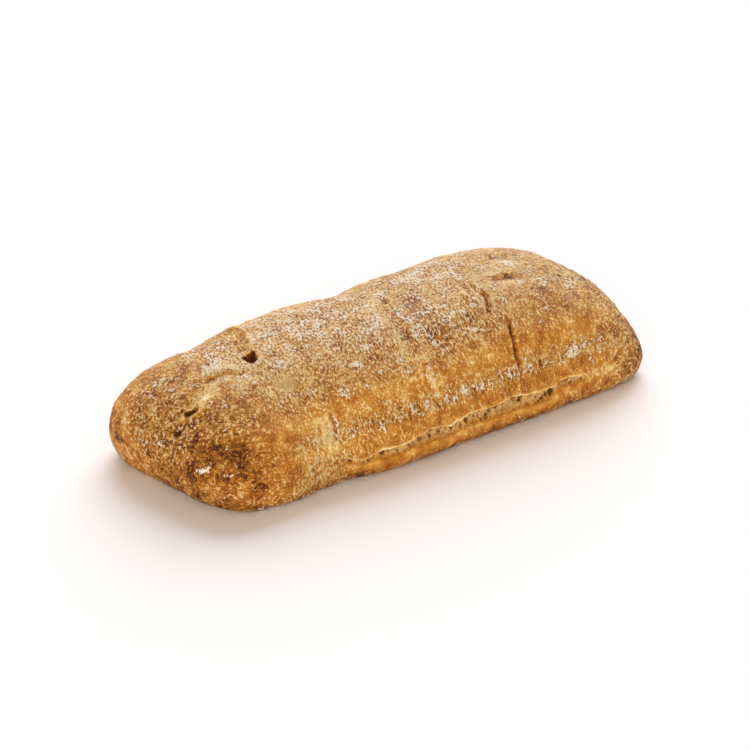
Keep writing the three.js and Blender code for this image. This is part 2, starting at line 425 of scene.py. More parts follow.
CREASES = (
    Crease(((7, 86), (5, 81), (3, 77)), 2.2, 1.6),
    Crease(((4, 80), (-3, 61), (-6.0, 46.5), (-7.0, 38)), 5.0, 0.8),
    Crease(((-7.8, 38), (-9.3, 27), (-7, 13)), 2.0, 0.9),
    Crease(((-12.5, 36), (-12.6, 27), (-10, 16)), 1.6, 0.6),
    Crease(((46.5, 62), (45.2, 58), (43, 53), (39.3, 47.5)), 2.1, 2.8),
    Crease(((46.6, 43), (43.6, 34), (41, 25.2), (40, 12.5)), 1.6, 1.9),
    Crease(((44.5, 76), (42.5, 70), (40.0, 61.5)), 1.9, 1.2),
    Crease(((47.5, 74), (45.8, 68), (43.8, 61)), 1.9, 1.2),
    Crease(((36.5, 14.8), (35, 11)), 1.4, 0.8),
    Crease(((56, 68), (62, 67.4), (66, 67), (72, 63.6)), 5.0, 1.2),
    Crease(((-60.9, 30), (-61.6, 23), (-62.3, 17.5), (-66, 12)), 1.7, 0.75),
    Crease(((-68.5, 26), (-70, 18), (-73, 12)), 1.7, 0.6),
    Crease(((-64, 24), (-66.5, 17), (-70, 11)), 1.6, 0.6),
    Crease(((-73, 9), (-77, 6), (-82, 5.5)), 1.6, 0.9),
    Crease(((-71, 5), (-75, 3), (-80, 2.5)), 1.4, 0.8),
    Crease(((-80, 66), (-88, 74), (-100, 78)), 4.0, 1.2),
    Crease(((-79.2, 66), (-76.8, 60)), 1.7, 1.6),
    Crease(((-115, 71.5), (-112.5, 70.3)), 1.8, 1.3),
    Crease(((-121, 63.5), (-119.4, 60.5)), 2.4, 1.4),
    Crease(((-110.5, 103.5), (-108.5, 102)), 2.2, 1.9),
    Crease(((74, 88.5), (77.2, 90.6)), 2.0, 1.8),
    Crease(((86, 86), (88.5, 87)), 1.6, 1.4),
    Crease(((91, 60.5), (92.5, 58.5)), 1.8, 1.4),
    Crease(((52.8, 20), (52.3, 17)), 1.6, 1.6),
    Crease(((-23.9, 19), (-24, 13.5)), 1.3, 1.1),
    Crease(((-4.5, 18.5), (-4.8, 12.5)), 1.3, 1.2),
    Crease(((-8.3, 20), (-8.4, 14)), 1.3, 1.0),
    Crease(((30, 17), (29.6, 13)), 1.2, 0.8),
    Crease(((63, 30), (61, 20)), 1.6, 0.6),
    Crease(((22, 108), (26, 128), (24, 146)), 2.6, 1.2),
    Crease(((-34, 104), (-31, 124), (-35, 142)), 2.4, 1.1),
    Crease(((70, 104), (66, 124), (71, 140)), 2.0, 0.9),
    Crease(((-84, 110), (-88, 124), (-80, 140)), 2.2, 0.9),
)

BLISTERS = (
    TornBlister(
        hole=((-74.5, 77.4), (-72.2, 77.4), (-73.7, 73.6), (-74.5, 77.4)), hole_radius=1.5, hole_depth=6.0,
        bared=((-71.5, 81), (-69.4, 87), (-67.0, 94), (-65, 101)), bared_width=8.0, bared_depth=1.1,
        lip=((-72.6, 70.6), (-69.2, 79), (-64.8, 87), (-61.6, 93.5), (-58.5, 104), (-63.5, 112)), lip_lift=1.1,
    ),
    TornBlister(
        hole=((-112.8, 65.6), (-111.0, 65.2)), hole_radius=1.5, hole_depth=4.0,
        bared=((-110, 68), (-107.6, 72), (-104, 73)), bared_width=4.0, bared_depth=1.0,
        lip=((-114.8, 69), (-115, 66), (-112.6, 62.2), (-109, 62.6), (-105, 66), (-101.8, 67.4)), lip_lift=1.1,
    ),
)

LONG_TEAR = (  # middle, and how high it gapes there
    ((-62, 6.0), 1.0), ((-57, 3.2), 1.9), ((-53, 1.9), 1.9), ((-49, 1.5), 1.7), ((-45, 3.3), 2.8), ((-42, 3.3), 4.6),
    ((-37, 2.7), 3.8), ((-31, 2.4), 3.0), ((-26, 3.2), 3.1), ((-20, 3.7), 4.0), ((-14, 4.3), 4.9), ((-8.5, 3.7), 4.8),
    ((-2.5, 3.0), 4.6), ((3, 4.2), 4.7), ((10, 5.2), 5.5), ((17, 4.7), 4.9), ((25, 4.5), 6.0), ((33, 5.1), 5.9),
    ((40, 4.4), 5.6), ((48, 3.2), 4.8), ((54, 3.5), 4.8), ((58, 4.2), 4.6), ((61, 4.9), 2.6),
)

TEARS = (
    Tear(
        tuple(place for place, _ in LONG_TEAR), tuple(gape for _, gape in LONG_TEAR), 2.8, "long_tear",
        (
            ((56.3, 4.1), 2.1, 2.4), ((53.6, 3.4), 1.2, 2.0), ((51, 2.6), 1.3, 2.4), ((48.7, 1.6), 0.9, 1.6),
            ((42.2, 2.2), 0.7, 1.2), ((44.5, 5.4), 0.7, 1.0), ((38.4, 5.9), 1.4, 1.6), ((34.5, 6.6), 1.1, 0.8),
            ((28.5, 6.9), 1.0, 1.6), ((24.1, 6.6), 1.5, 1.4), ((20.2, 6.2), 1.3, 1.4), ((18, 3.8), 1.6, 1.2),
            ((13.6, 5.2), 0.9, 0.8), ((15, 2.6), 1.1, 0.7), ((6.9, 5.2), 1.5, 1.4), ((7.2, 2.2), 0.8, 0.7),
            ((3, 3.8), 1.3, 0.9), ((-2.1, 4.2), 1.1, 1.4), ((-3.3, 1.8), 0.9, 0.9), ((-9, 4.6), 1.2, 1.2),
            ((-14, 4.0), 1.3, 1.4), ((-20, 4.4), 1.2, 1.2), ((-26, 3.2), 0.9, 1.0), ((-33, 2.6), 1.0, 1.0),
            ((-41, 3.6), 1.5, 1.6), ((-48, 1.9), 1.1, 1.4), ((-57, 3.2), 1.0, 1.6),
        ),
    ),
    Tear(
        ((60.5, 6.7), (66, 6.4), (71.5, 5.8), (78, 4.9)), (2.2, 3.0, 2.2, 1.6), 2.0, "short_tear",
        (
            ((61.6, 7.2), 0.9, 1.6), ((63.2, 7.2), 0.9, 1.6), ((65.2, 7.4), 0.7, 1.2), ((70.6, 6.6), 0.6, 1.0),
            ((74.6, 5.1), 1.0, 1.8), ((61.0, 5.4), 0.6, 0.8), ((68.2, 5.4), 0.7, 0.6),
        ),
    ),
)

# Where flour lies thick (amounts are shares of the crust covered).
FLOUR_PATCHES = (
    Patch((-40, 94), (34, 15), 0.34),
    Patch((-84, 80), (9, 11), 0.36),
    Patch((-20, 60), (30, 14), 0.12),
    Patch((44, 96), (24, 12), 0.26),
    Patch((10, 52), (14, 12), 0.16),
    Patch((52, 84), (8, 4), 0.45),
    Patch((92, 55), (11, 7), 0.22),
    Patch((84, 24), (16, 4), 0.25),
    Patch((-60, 20), (4, 7), 0.15),
    Patch((-70, 60.5), (4, 3), 0.3),
    Patch((-109, 101), (5, 4), 0.3),
    Patch((-38, 120), (46, 12), 0.18),
    Patch((60, 124), (34, 12), 0.16),
)

# Single dabs of flour: place, reach and amount.
FLOUR_DABS = (
    Patch((-5.5, 34.8), (0.9, 1.6), 0.7), Patch((-5.4, 30), (0.7, 2.4), 0.6),
    Patch((-8, 31.3), (0.7, 2.6), 0.6), Patch((-6.6, 42), (0.7, 2.6), 0.6), Patch((-7, 46), (0.7, 2.2), 0.5),
    Patch((-6.4, 51), (0.7, 2.4), 0.4), Patch((-7.3, 21.9), (0.8, 2.4), 0.5),
    Patch((-7.5, 14), (0.6, 2.4), 0.6), Patch((7.2, 38), (3.6, 2.4), 0.75), Patch((6.2, 44), (1.8, 2.4), 0.6),
    Patch((27.5, 43), (3.2, 2.4), 0.6), Patch((30.5, 47.5), (2.0, 1.6), 0.4),
    Patch((-13.5, 35), (3.6, 3.0), 0.45), Patch((-16.3, 40), (2.0, 2.0), 0.6),
    Patch((-35.4, 46), (2.2, 2.4), 0.5), Patch((-38.8, 33.7), (0.9, 2.4), 0.8),
    Patch((-51, 34), (2.4, 2.4), 0.6), Patch((-60.9, 26), (0.8, 4.0), 0.6), Patch((-62.3, 17), (0.8, 3.0), 0.5),
    Patch((-122.5, 23.0), (1.2, 3.0), 1.3), Patch((-123.4, 20), (0.9, 4.0), 0.6),
    Patch((-118.0, 15.4), (2.0, 1.8), 0.85), Patch((-123.2, 40), (0.9, 5.0), 0.4),
    Patch((-100.5, 56.4), (2.4, 1.1), 0.7), Patch((-109.2, 43.5), (1.1, 1.1), 0.7),
    Patch((-112.2, 41.4), (1.0, 1.0), 0.6), Patch((-113.9, 34), (1.0, 1.5), 0.6),
    Patch((-114.3, 15.3), (1.4, 1.1), 0.5), Patch((-107, 101.2), (2.0, 0.9), 0.5),
    Patch((-56.2, 14), (0.85, 2.25), 0.43), Patch((-52.8, 16.4), (1.02, 2.5), 0.43),
    Patch((-44, 12.4), (0.77, 2), 0.36), Patch((-38.3, 14), (0.85, 2.12), 0.36),
    Patch((-29.8, 16), (0.85, 2.25), 0.43), Patch((-27.4, 20.5), (0.77, 2.25), 0.43),
    Patch((-21.8, 18.8), (1.02, 2.5), 0.5), Patch((-19.8, 15.9), (0.77, 2), 0.36),
    Patch((-12.8, 19.8), (0.94, 2.5), 0.5), Patch((-2, 19.5), (0.85, 2.5), 0.5),
    Patch((1.7, 16.7), (0.77, 2.25), 0.43), Patch((7, 18.7), (0.94, 2.62), 0.5),
    Patch((12.8, 19.3), (0.85, 2.5), 0.5), Patch((17.2, 18.1), (0.94, 2.62), 0.5),
    Patch((29.1, 18), (0.94, 2.75), 0.5), Patch((33.9, 18.1), (0.85, 2.5), 0.5),
    Patch((45.5, 17.9), (0.94, 2.62), 0.5), Patch((53, 16.2), (0.77, 1.75), 0.58),
    Patch((62.7, 14.7), (0.85, 1.75), 0.5), Patch((64.2, 18.8), (0.85, 2.38), 0.43),
    Patch((71.1, 18), (0.94, 2.5), 0.5), Patch((81, 14.6), (1.1, 2), 0.43),
    Patch((87.1, 14.5), (1.02, 2), 0.43), Patch((55, 65.2), (2.6, 0.9), 0.6),
    Patch((61, 63.2), (3.6, 1.0), 0.6), Patch((68, 60.4), (3.6, 1.0), 0.6),
    Patch((76.2, 79.6), (3.4, 2.4), 0.55),
)

# Where the crust is browner (positive) or paler (negative) than its golden ground. The small browner marks in
# dimples and folds, and the one behind the large blister, are painted shade.
BROWNING_PATCHES = (
    Patch((-118, 22), (9, 14), 0.16),
    Patch((-115, 40), (12, 14), 0.17),
    # painted shadow behind the large blister
    Patch((-62, 100), (6, 9), 0.16),
    Patch((-92, 44), (9, 9), 0.15),
    Patch((12, 62), (9, 16), 0.20),
    # painted shade along a fold
    Patch((68.5, 66.8), (4.5, 2.4), 0.2),
    Patch((72, 44), (22, 22), 0.06),
    Patch((112, 62), (9, 18), 0.20),
    Patch((119, 14), (5, 10), 0.26),
    Patch((20, 12.5), (44, 3.4), 0.18),
    Patch((70, 13), (16, 3.4), 0.12),
    # painted shade: small browner marks in the crust's dimples and folds
    Patch((-120, 61.8), (3, 3), 0.3),
    Patch((-113.5, 70.5), (2.2, 1.6), 0.3),
    Patch((28.7, 50), (3, 2.4), 0.2),
    Patch((5.5, 46), (2.6, 3.8), 0.34),
    Patch((80, 88), (5, 2), 0.2),
    Patch((-67.0, 49.5), (1.5, 2.6), 0.3),
    Patch((-69.6, 86), (2.2, 2.6), 0.35),
    Patch((-67.6, 93.6), (1.8, 2.6), 0.35),
    Patch((-72, 62), (10, 5), -0.12),
    Patch((-70, 14), (14, 12), -0.19),
    Patch((-106, 22), (16, 18), 0.18),
    Patch((-74, 6), (9, 5), -0.2),
    Patch((-72, 52), (16, 10), -0.16),
    Patch((-84, 76), (14, 10), -0.12),
    Patch((-106, 67), (7, 4), -0.25),
    Patch((-108.6, 64.6), (1.6, 2.4), -0.3),
    Patch((-114.8, 65.6), (1.4, 2.2), -0.25),
    Patch((88, 6.4), (9, 2.4), -0.3),
    Patch((30, 62), (12, 6), -0.14),
    Patch((-20, 100), (60, 16), -0.05),
    Patch((-109.5, 30), (4.5, 5), -0.12),
    Patch((-116, 38), (4, 4), -0.07),
)


@dataclass
class CrustSurface:
    """The loaf's skin: its form with the relief that is big enough to be shape."""

    form: LoafForm = field(default_factory=LoafForm)
    unevenness: tuple[Uneven, ...] = (
        Uneven(34.0, 0.7, Draw.BROAD_SWELLS),
        Uneven(13.0, 0.45, Draw.SWELLS),
        Uneven(6.5, 0.28, Draw.SMALL_SWELLS),
    )
    relief_fade: float = 3.0  # the height above the table from which the relief is whole
    fold_wander: Uneven = Uneven(2.2, 0.5, Draw.FOLD_WANDER)
    fold_floor: float = 0.1  # a flank rises only beside folds that are shallower than this
    flank_rise: float = 0.3  # of a fold's flank, as a share of its depth
    flank_width: float = 0.6  # as a share of its width
    blister_rags: tuple[Uneven, ...] = (
        Uneven(2.8, 1.3, Draw.BLISTER_RAGS), Uneven(1.3, 0.6, Draw.SMALL_BLISTER_RAGS),
    )
    hole_rags: float = 0.4  # the share of those rags that a hole's edge has
    hole_wall: Span = (0.7, -0.9)
    hole_shade: Span = (1.3, 0.5)
    bared_wall: Span = (0.9, -1.1)
    blister_lip_width: float = 1.3
    blister_lip_rags: float = 0.25
    tear_jags: tuple[Uneven, ...] = (
        Uneven(6.0, 0.22, Draw.TEAR_JAGS), Uneven(2.2, 0.16, Draw.SMALL_TEAR_JAGS),
    )
    tear_ends: tuple[float, float] = (9.0, 12.0)  # how steeply its left and right ends close
    least_taper: float = 0.02
    upper_wall: Span = (0.5, -0.3)
    lower_wall: Span = (1.3, -0.9)
    tear_lip_lift: float = 0.9
    lower_lip_share: float = 0.25
    tear_lip_width: float = 2.6
    groove: float = 2.6  # how much deeper the crust's groove is than the tear's crumb
    lip_marks: Span = (1.0, 2.2)  # how wide the smooth skin of the upper and the lower lip is
    lip_middle: float = 0.3  # how far out its middle lies, as a share of that
    edge_start: float = 0.6
    edge_width: float = 1.5
    edge_scallops: Uneven = Uneven(3.0, 0.5, Draw.TEAR_EDGE)

    def from_path(self, points: Array, path: tuple[Place, ...]) -> tuple[Array, Array, Array]:
        """Measures points against a path of places on the smooth crust, as path_distance does."""
        return path_distance(points, self.form.spot(list(path)))

    def broad_relief(self, points: Array) -> Array:
        """Gives how far the smooth crust swells or sinks, apart from its tears.

        Args:
            points: Points of the smooth crust.

        Returns:
            Millimetres outwards, one for each point.
        """
        lift = np.zeros(len(points))
        for swell in SWELLS:
            centre = self.form.spot([swell.at])[0]
            lift += swell.lift * fall(np.linalg.norm(points - centre, axis=1), swell.radius)
        for layer in self.unevenness:
            lift += layer.at(points)
        return lift

    def creases(self, points: Array) -> tuple[Array, Array]:
        """Gives how deep the folds of the skin are.

        Args:
            points: Points of the smooth crust.

        Returns:
            Millimetres inwards, and how near each point is to a fold's raised flank, from 0 to 1.
            The flanks are painted paler as a highlight.
        """
        depth = np.zeros(len(points))
        flanks = np.zeros(len(points))
        wander = self.fold_wander.at(points)
        for crease in CREASES:
            distance, share, _ = self.from_path(points, crease.path)
            ends = tapered(share, 4, 0.2)
            inside = fall(np.maximum(0, distance + wander), crease.width / 2)
            depth = np.maximum(depth, crease.depth * inside * ends)
            beside = fall(distance - crease.width, crease.width * self.flank_width)
            depth -= self.flank_rise * crease.depth * beside * ends * (depth < self.fold_floor)
            flanks = np.maximum(flanks, beside * ends * (depth < self.fold_floor))
        return depth, flanks

    def blisters(self, points: Array) -> tuple[Array, Array, Array, Array]:
        """Shapes the torn blisters.

        Args:
            points: Points of the smooth crust.

        Returns:
            Millimetres outwards; how bared each point is, how far into a hole and its painted shade,
            and how close to a pale rim, all from 0 to 1.
        """
        lift = np.zeros(len(points))
        bared = np.zeros(len(points))
        shaded_holes = np.zeros(len(points))
        rims = np.zeros(len(points))
        ragged = layered(points, self.blister_rags)
        for blister in BLISTERS:
            radius, half = blister.hole_radius, blister.bared_width / 2
            distance = self.from_path(points, blister.hole)[0] + self.hole_rags * ragged
            hole = within(distance, radius, self.hole_wall)
            shade = within(distance, radius, self.hole_shade)
            open_skin = within(self.from_path(points, blister.bared)[0] + ragged, half, self.bared_wall)
            edge, share, _ = self.from_path(points, blister.lip)
            lip = fall(edge + self.blister_lip_rags * ragged, self.blister_lip_width) * tapered(share, 5, 0.1)
            lift += blister.lip_lift * lip * (1 - hole)
            lift -= blister.bared_depth * open_skin * (1 - lip) + blister.hole_depth * hole
            bared = np.maximum(bared, np.maximum(open_skin * (1 - 0.6 * lip), hole))
            shaded_holes = np.maximum(shaded_holes, shade)
            rims = np.maximum(rims, lip * (1 - shade))
        return lift, bared, shaded_holes, rims

    def gape(self, tear: Tear, share: Array) -> Array:
        """Gives half the height that a tear gapes, at shares of its length."""
        return np.interp(share, np.linspace(0, 1, len(tear.gapes)), tear.gapes) / 2

    def tears(self, points: Array) -> tuple[Array, Array, Array, Array]:
        """Shapes the tears.

        Args:
            points: Points of the smooth crust.

        Returns:
            Millimetres outwards, how far inside a tear each point is, how close to its lips, and
            how far on the thin pale edge of its upper one.
        """
        lift = np.zeros(len(points))
        opened = np.zeros(len(points))
        lips = np.zeros(len(points))
        edges = np.zeros(len(points))
        jagged = layered(points, self.tear_jags, 1.0)
        scallops = self.edge_scallops.at(points)
        for tear in TEARS:
            distance, share, above = self.from_path(points, tear.path)
            upper = above > 0
            left, right = self.tear_ends
            taper = np.sqrt(np.clip(np.minimum(left * share, right * (1 - share)), 0, 1))
            half = self.gape(tear, share) * taper * jagged
            crisp = within(distance, half, self.upper_wall)
            soft = within(distance, half, self.lower_wall)
            inside = np.where(upper, crisp, soft) * (taper > self.least_taper)
            lift -= inside * (tear.depth + self.groove) * taper
            rim = fall(distance - half, self.tear_lip_width) * (1 - inside) * taper
            lift += np.where(upper, self.tear_lip_lift, self.lower_lip_share * self.tear_lip_lift) * rim
            opened = np.maximum(opened, inside)
            width = np.where(upper, *self.lip_marks)
            lips = np.maximum(lips, fall(distance - half - self.lip_middle * width, width) * taper * (1 - inside))
            edge = ramp(distance - half, self.edge_width + scallops, self.edge_start) * upper
            edges = np.maximum(edges, edge * taper)
        return lift, opened, lips, edges


def mark(places: Array, patches: tuple[Patch, ...]) -> Array:
    """Adds up patches at places.

    Args:
        places: Millimetres along and over the loaf.
        patches: What lies there.

    Returns:
        The total amount at each place.
    """
    total = np.zeros(len(places))
    for patch in patches:
        offset = (places - np.array(patch.at)) / np.array(patch.reach)
        total += patch.amount * np.exp(-(offset**2).sum(1))
    return total


def held_inside(points: Array, corners: tuple[Array, Array], margin: float, give: float) -> Array:
    """Presses points gently back into a box.

    Args:
        points: Any points.
        corners: The box's lowest and highest corners.
        margin: How far inside the box the pressed points end.
        give: The depth over which the pressing sets in.

    Returns:
        The points, moved only where they come close to the box or pass it.
    """
    lowest, highest = (np.asarray(corner, float) for corner in corners)
    for side, wall in ((1, highest - margin), (-1, lowest + margin)):
        start = wall - side * give
        past = np.maximum(0, side * (points - start))
        points = np.where(past > 0, start + side * give * (1 - np.exp(-past / give)), points)
    return points


# ---------------------------------------------------------------- meshes


def grid_faces(rows: int, columns: int, first: int = 0) -> Array:
    """Makes the quads of a grid of points laid row by row.

    Args:
        rows: Cells up the grid.
        columns: Cells along a row.
        first: Index of the grid's first point.

    Returns:
        Four indices for each quad, anticlockwise when columns run right and rows run up.
    """
    j, i = np.meshgrid(np.arange(rows), np.arange(columns), indexing="ij")
    corner = (first + j * (columns + 1) + i).ravel()
    return np.stack([corner, corner + 1, corner + columns + 2, corner + columns + 1], -1)


def grid_border(rows: int, columns: int) -> Array:
    """Gives the indices round a grid's border, anticlockwise."""
    index = np.arange((rows + 1) * (columns + 1)).reshape(rows + 1, columns + 1)
    return np.concatenate([index[0, :-1], index[:-1, -1], index[-1, :0:-1], index[:0:-1, 0]])


def vertex_normals(points: Array, faces: Array) -> Array:
    """Gives each point's normal, weighted by the areas of the quads round it.

    Args:
        points: The mesh's points.
        faces: Four indices for each quad.

    Returns:
        One vector of length 1 for each point, or 0 where it has no quad.
    """
    diagonal_a = points[faces[:, 2]] - points[faces[:, 0]]
    diagonal_b = points[faces[:, 3]] - points[faces[:, 1]]
    face_normals = np.cross(diagonal_a, diagonal_b)
    total = np.zeros_like(points)
    for n in range(faces.shape[1]):
        for axis in range(3):
            total[:, axis] += np.bincount(faces[:, n], face_normals[:, axis], len(points))
    return total / np.maximum(np.linalg.norm(total, axis=1, keepdims=True), TINY)


def make_piece(name: str, points: Array, faces: list[Array], marks: dict[str, Array]) -> bpy.types.Object:
    """Makes a smooth-shaded mesh object.

    Args:
        name: The piece's name.
        points: Points in millimetres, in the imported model's frame.
        faces: Arrays of indices, one array for each number of corners.
        marks: Values at the points, by name: numbers or vectors.

    Returns:
        The object, linked to the scene.
    """
    mesh = bpy.data.meshes.new(name)
    loops = np.concatenate([part.ravel() for part in faces]).astype(np.int32)
    sizes = np.concatenate([np.full(len(part), part.shape[1]) for part in faces]).astype(np.int32)
    mesh.vertices.add(len(points))
    mesh.vertices.foreach_set("co", (points * MM).astype(np.float32).ravel())
    mesh.loops.add(len(loops))
    mesh.loops.foreach_set("vertex_index", loops)
    mesh.polygons.add(len(sizes))
    starts = np.concatenate([[0], np.cumsum(sizes)[:-1]]).astype(np.int32)
    mesh.polygons.foreach_set("loop_start", starts)
    mesh.polygons.foreach_set("use_smooth", np.ones(len(sizes), bool))
    for mark_name, values in marks.items():
        kind, slot = ("FLOAT_VECTOR", "vector") if values.ndim == 2 else ("FLOAT", "value")
        attribute = mesh.attributes.new(mark_name, kind, "POINT")
        attribute.data.foreach_set(slot, values.astype(np.float32).ravel())
    mesh.update(calc_edges=True)
    mesh.validate()
    piece = bpy.data.objects.new(name, mesh)
    bpy.context.collection.objects.link(piece)
    return piece


# ---------------------------------------------------------------- finishes


def linear(hex_colour: str) -> tuple[float, float, float, float]:
    """Turns an sRGB hex colour into linear values.

    Args:
        hex_colour: Six hexadecimal digits after a hash sign.

    Returns:
        Red, green, blue and an alpha of 1.
    """
    parts = [int(hex_colour[n : n + 2], 16) / 255 for n in (1, 3, 5)]
    red, green, blue = (c / 12.92 if c <= 0.04045 else ((c + 0.055) / 1.055) ** 2.4 for c in parts)
    return red, green, blue, 1.0


class Mode(Enum):
    """What a node is set to do, as its own properties."""

    ADD = {"operation": "ADD"}
    SUBTRACT = {"operation": "SUBTRACT"}
    MULTIPLY = {"operation": "MULTIPLY"}
    DIVIDE = {"operation": "DIVIDE"}
    SCALE = {"operation": "SCALE"}
    EASED = {"interpolation_type": "SMOOTHSTEP"}
    NUMBERS = {"data_type": "FLOAT"}
    VECTORS = {"data_type": "FLOAT_VECTOR"}
    COLOURS = {"data_type": "RGBA"}
    TO_CELL_EDGE = {"feature": "DISTANCE_TO_EDGE"}
    AT_RANDOM = {"distribute_method": "RANDOM"}


def add_node(
    tree: bpy.types.NodeTree, kind: str, settings: Mode | dict[str, str] | None = None, **inputs: object
) -> bpy.types.Node:
    """Adds a node with its settings, values and links.

    Args:
        tree: The tree that the node goes in.
        kind: The node's type name.
        settings: Its properties, by name, or a mode that holds them.
        **inputs: Values for its sockets, or sockets to link to them. A name is the socket's, with
            underscores for spaces, or in_ and the socket's number.

    Returns:
        The node.
    """
    node = tree.nodes.new(kind)
    properties = settings.value if isinstance(settings, Mode) else settings or {}
    for name, value in properties.items():
        setattr(node, name, value)
    for name, value in inputs.items():
        socket = node.inputs[int(name[3:])] if name.startswith("in_") else node.inputs[name.replace("_", " ")]
        if isinstance(value, bpy.types.NodeSocket):
            tree.links.new(value, socket)
        else:
            socket.default_value = value
    return node


def place_in_mm(tree: bpy.types.NodeTree) -> bpy.types.NodeSocket:
    """Gives the place on the piece, in millimetres."""
    place = add_node(tree, "ShaderNodeTexCoord").outputs["Object"]
    return add_node(tree, "ShaderNodeVectorMath", Mode.SCALE, Vector=place, Scale=1 / MM).outputs[0]


def grain(
    tree: bpy.types.NodeTree, place: bpy.types.NodeSocket, size: tuple[float, float, float]
) -> bpy.types.NodeSocket:
    """Draws a soft grain that runs evenly from 0 to 1.

    Args:
        tree: The material's node tree.
        place: Millimetres over the surface or through space.
        size: How far apart its bumps are on each axis.

    Returns:
        The grain's socket.
    """
    cell = add_node(tree, "ShaderNodeVectorMath", Mode.DIVIDE, in_0=place, in_1=size).outputs[0]
    uneven = add_node(tree, "ShaderNodeTexNoise", Vector=cell, Scale=1.0, Detail=1.5, Roughness=0.5).outputs["Fac"]
    return add_node(tree, "ShaderNodeMapRange", Value=uneven, From_Min=0.28, From_Max=0.72).outputs["Result"]


def weighted_sum(
    tree: bpy.types.NodeTree, start: object, *parts: tuple[bpy.types.NodeSocket, float, float]
) -> bpy.types.NodeSocket:
    """Adds weighted values to a first one.

    Args:
        tree: The material's node tree.
        start: The first value, a number or a socket.
        *parts: Each a value, the middle it is measured from, and its weight.

    Returns:
        The sum's socket.
    """
    for value, middle, weight in parts:
        value = add_node(tree, "ShaderNodeMath", Mode.SUBTRACT, in_0=value, in_1=middle).outputs[0]
        value = add_node(tree, "ShaderNodeMath", Mode.MULTIPLY, in_0=value, in_1=weight).outputs[0]
        start = add_node(tree, "ShaderNodeMath", Mode.ADD, in_0=start, in_1=value).outputs[0]
    return start


@dataclass(frozen=True)
class Finish:
    """What every finish has: a material whose shader is set on its own sockets."""

    name: str
    roughness: float
    specular: float

    def start(self) -> tuple[bpy.types.NodeTree, bpy.types.Node]:
        """Makes the material, and gives its tree and its shader."""
        material = bpy.data.materials.new(self.name)
        material.use_nodes = True
        tree = material.node_tree
        shader = tree.nodes["Principled BSDF"]
        shader.inputs["Roughness"].default_value = self.roughness
        shader.inputs["Specular IOR Level"].default_value = self.specular
        return tree, shader

    def material(self) -> bpy.types.Material:
        """Gives the finish's material, made the first time."""
        if self.name not in bpy.data.materials:
            self.paint(*self.start())
        return bpy.data.materials[self.name]

    def paint(self, tree: bpy.types.NodeTree, shader: bpy.types.Node) -> None:
        """Adds the pattern nodes. Each finish has its own."""
        raise NotImplementedError


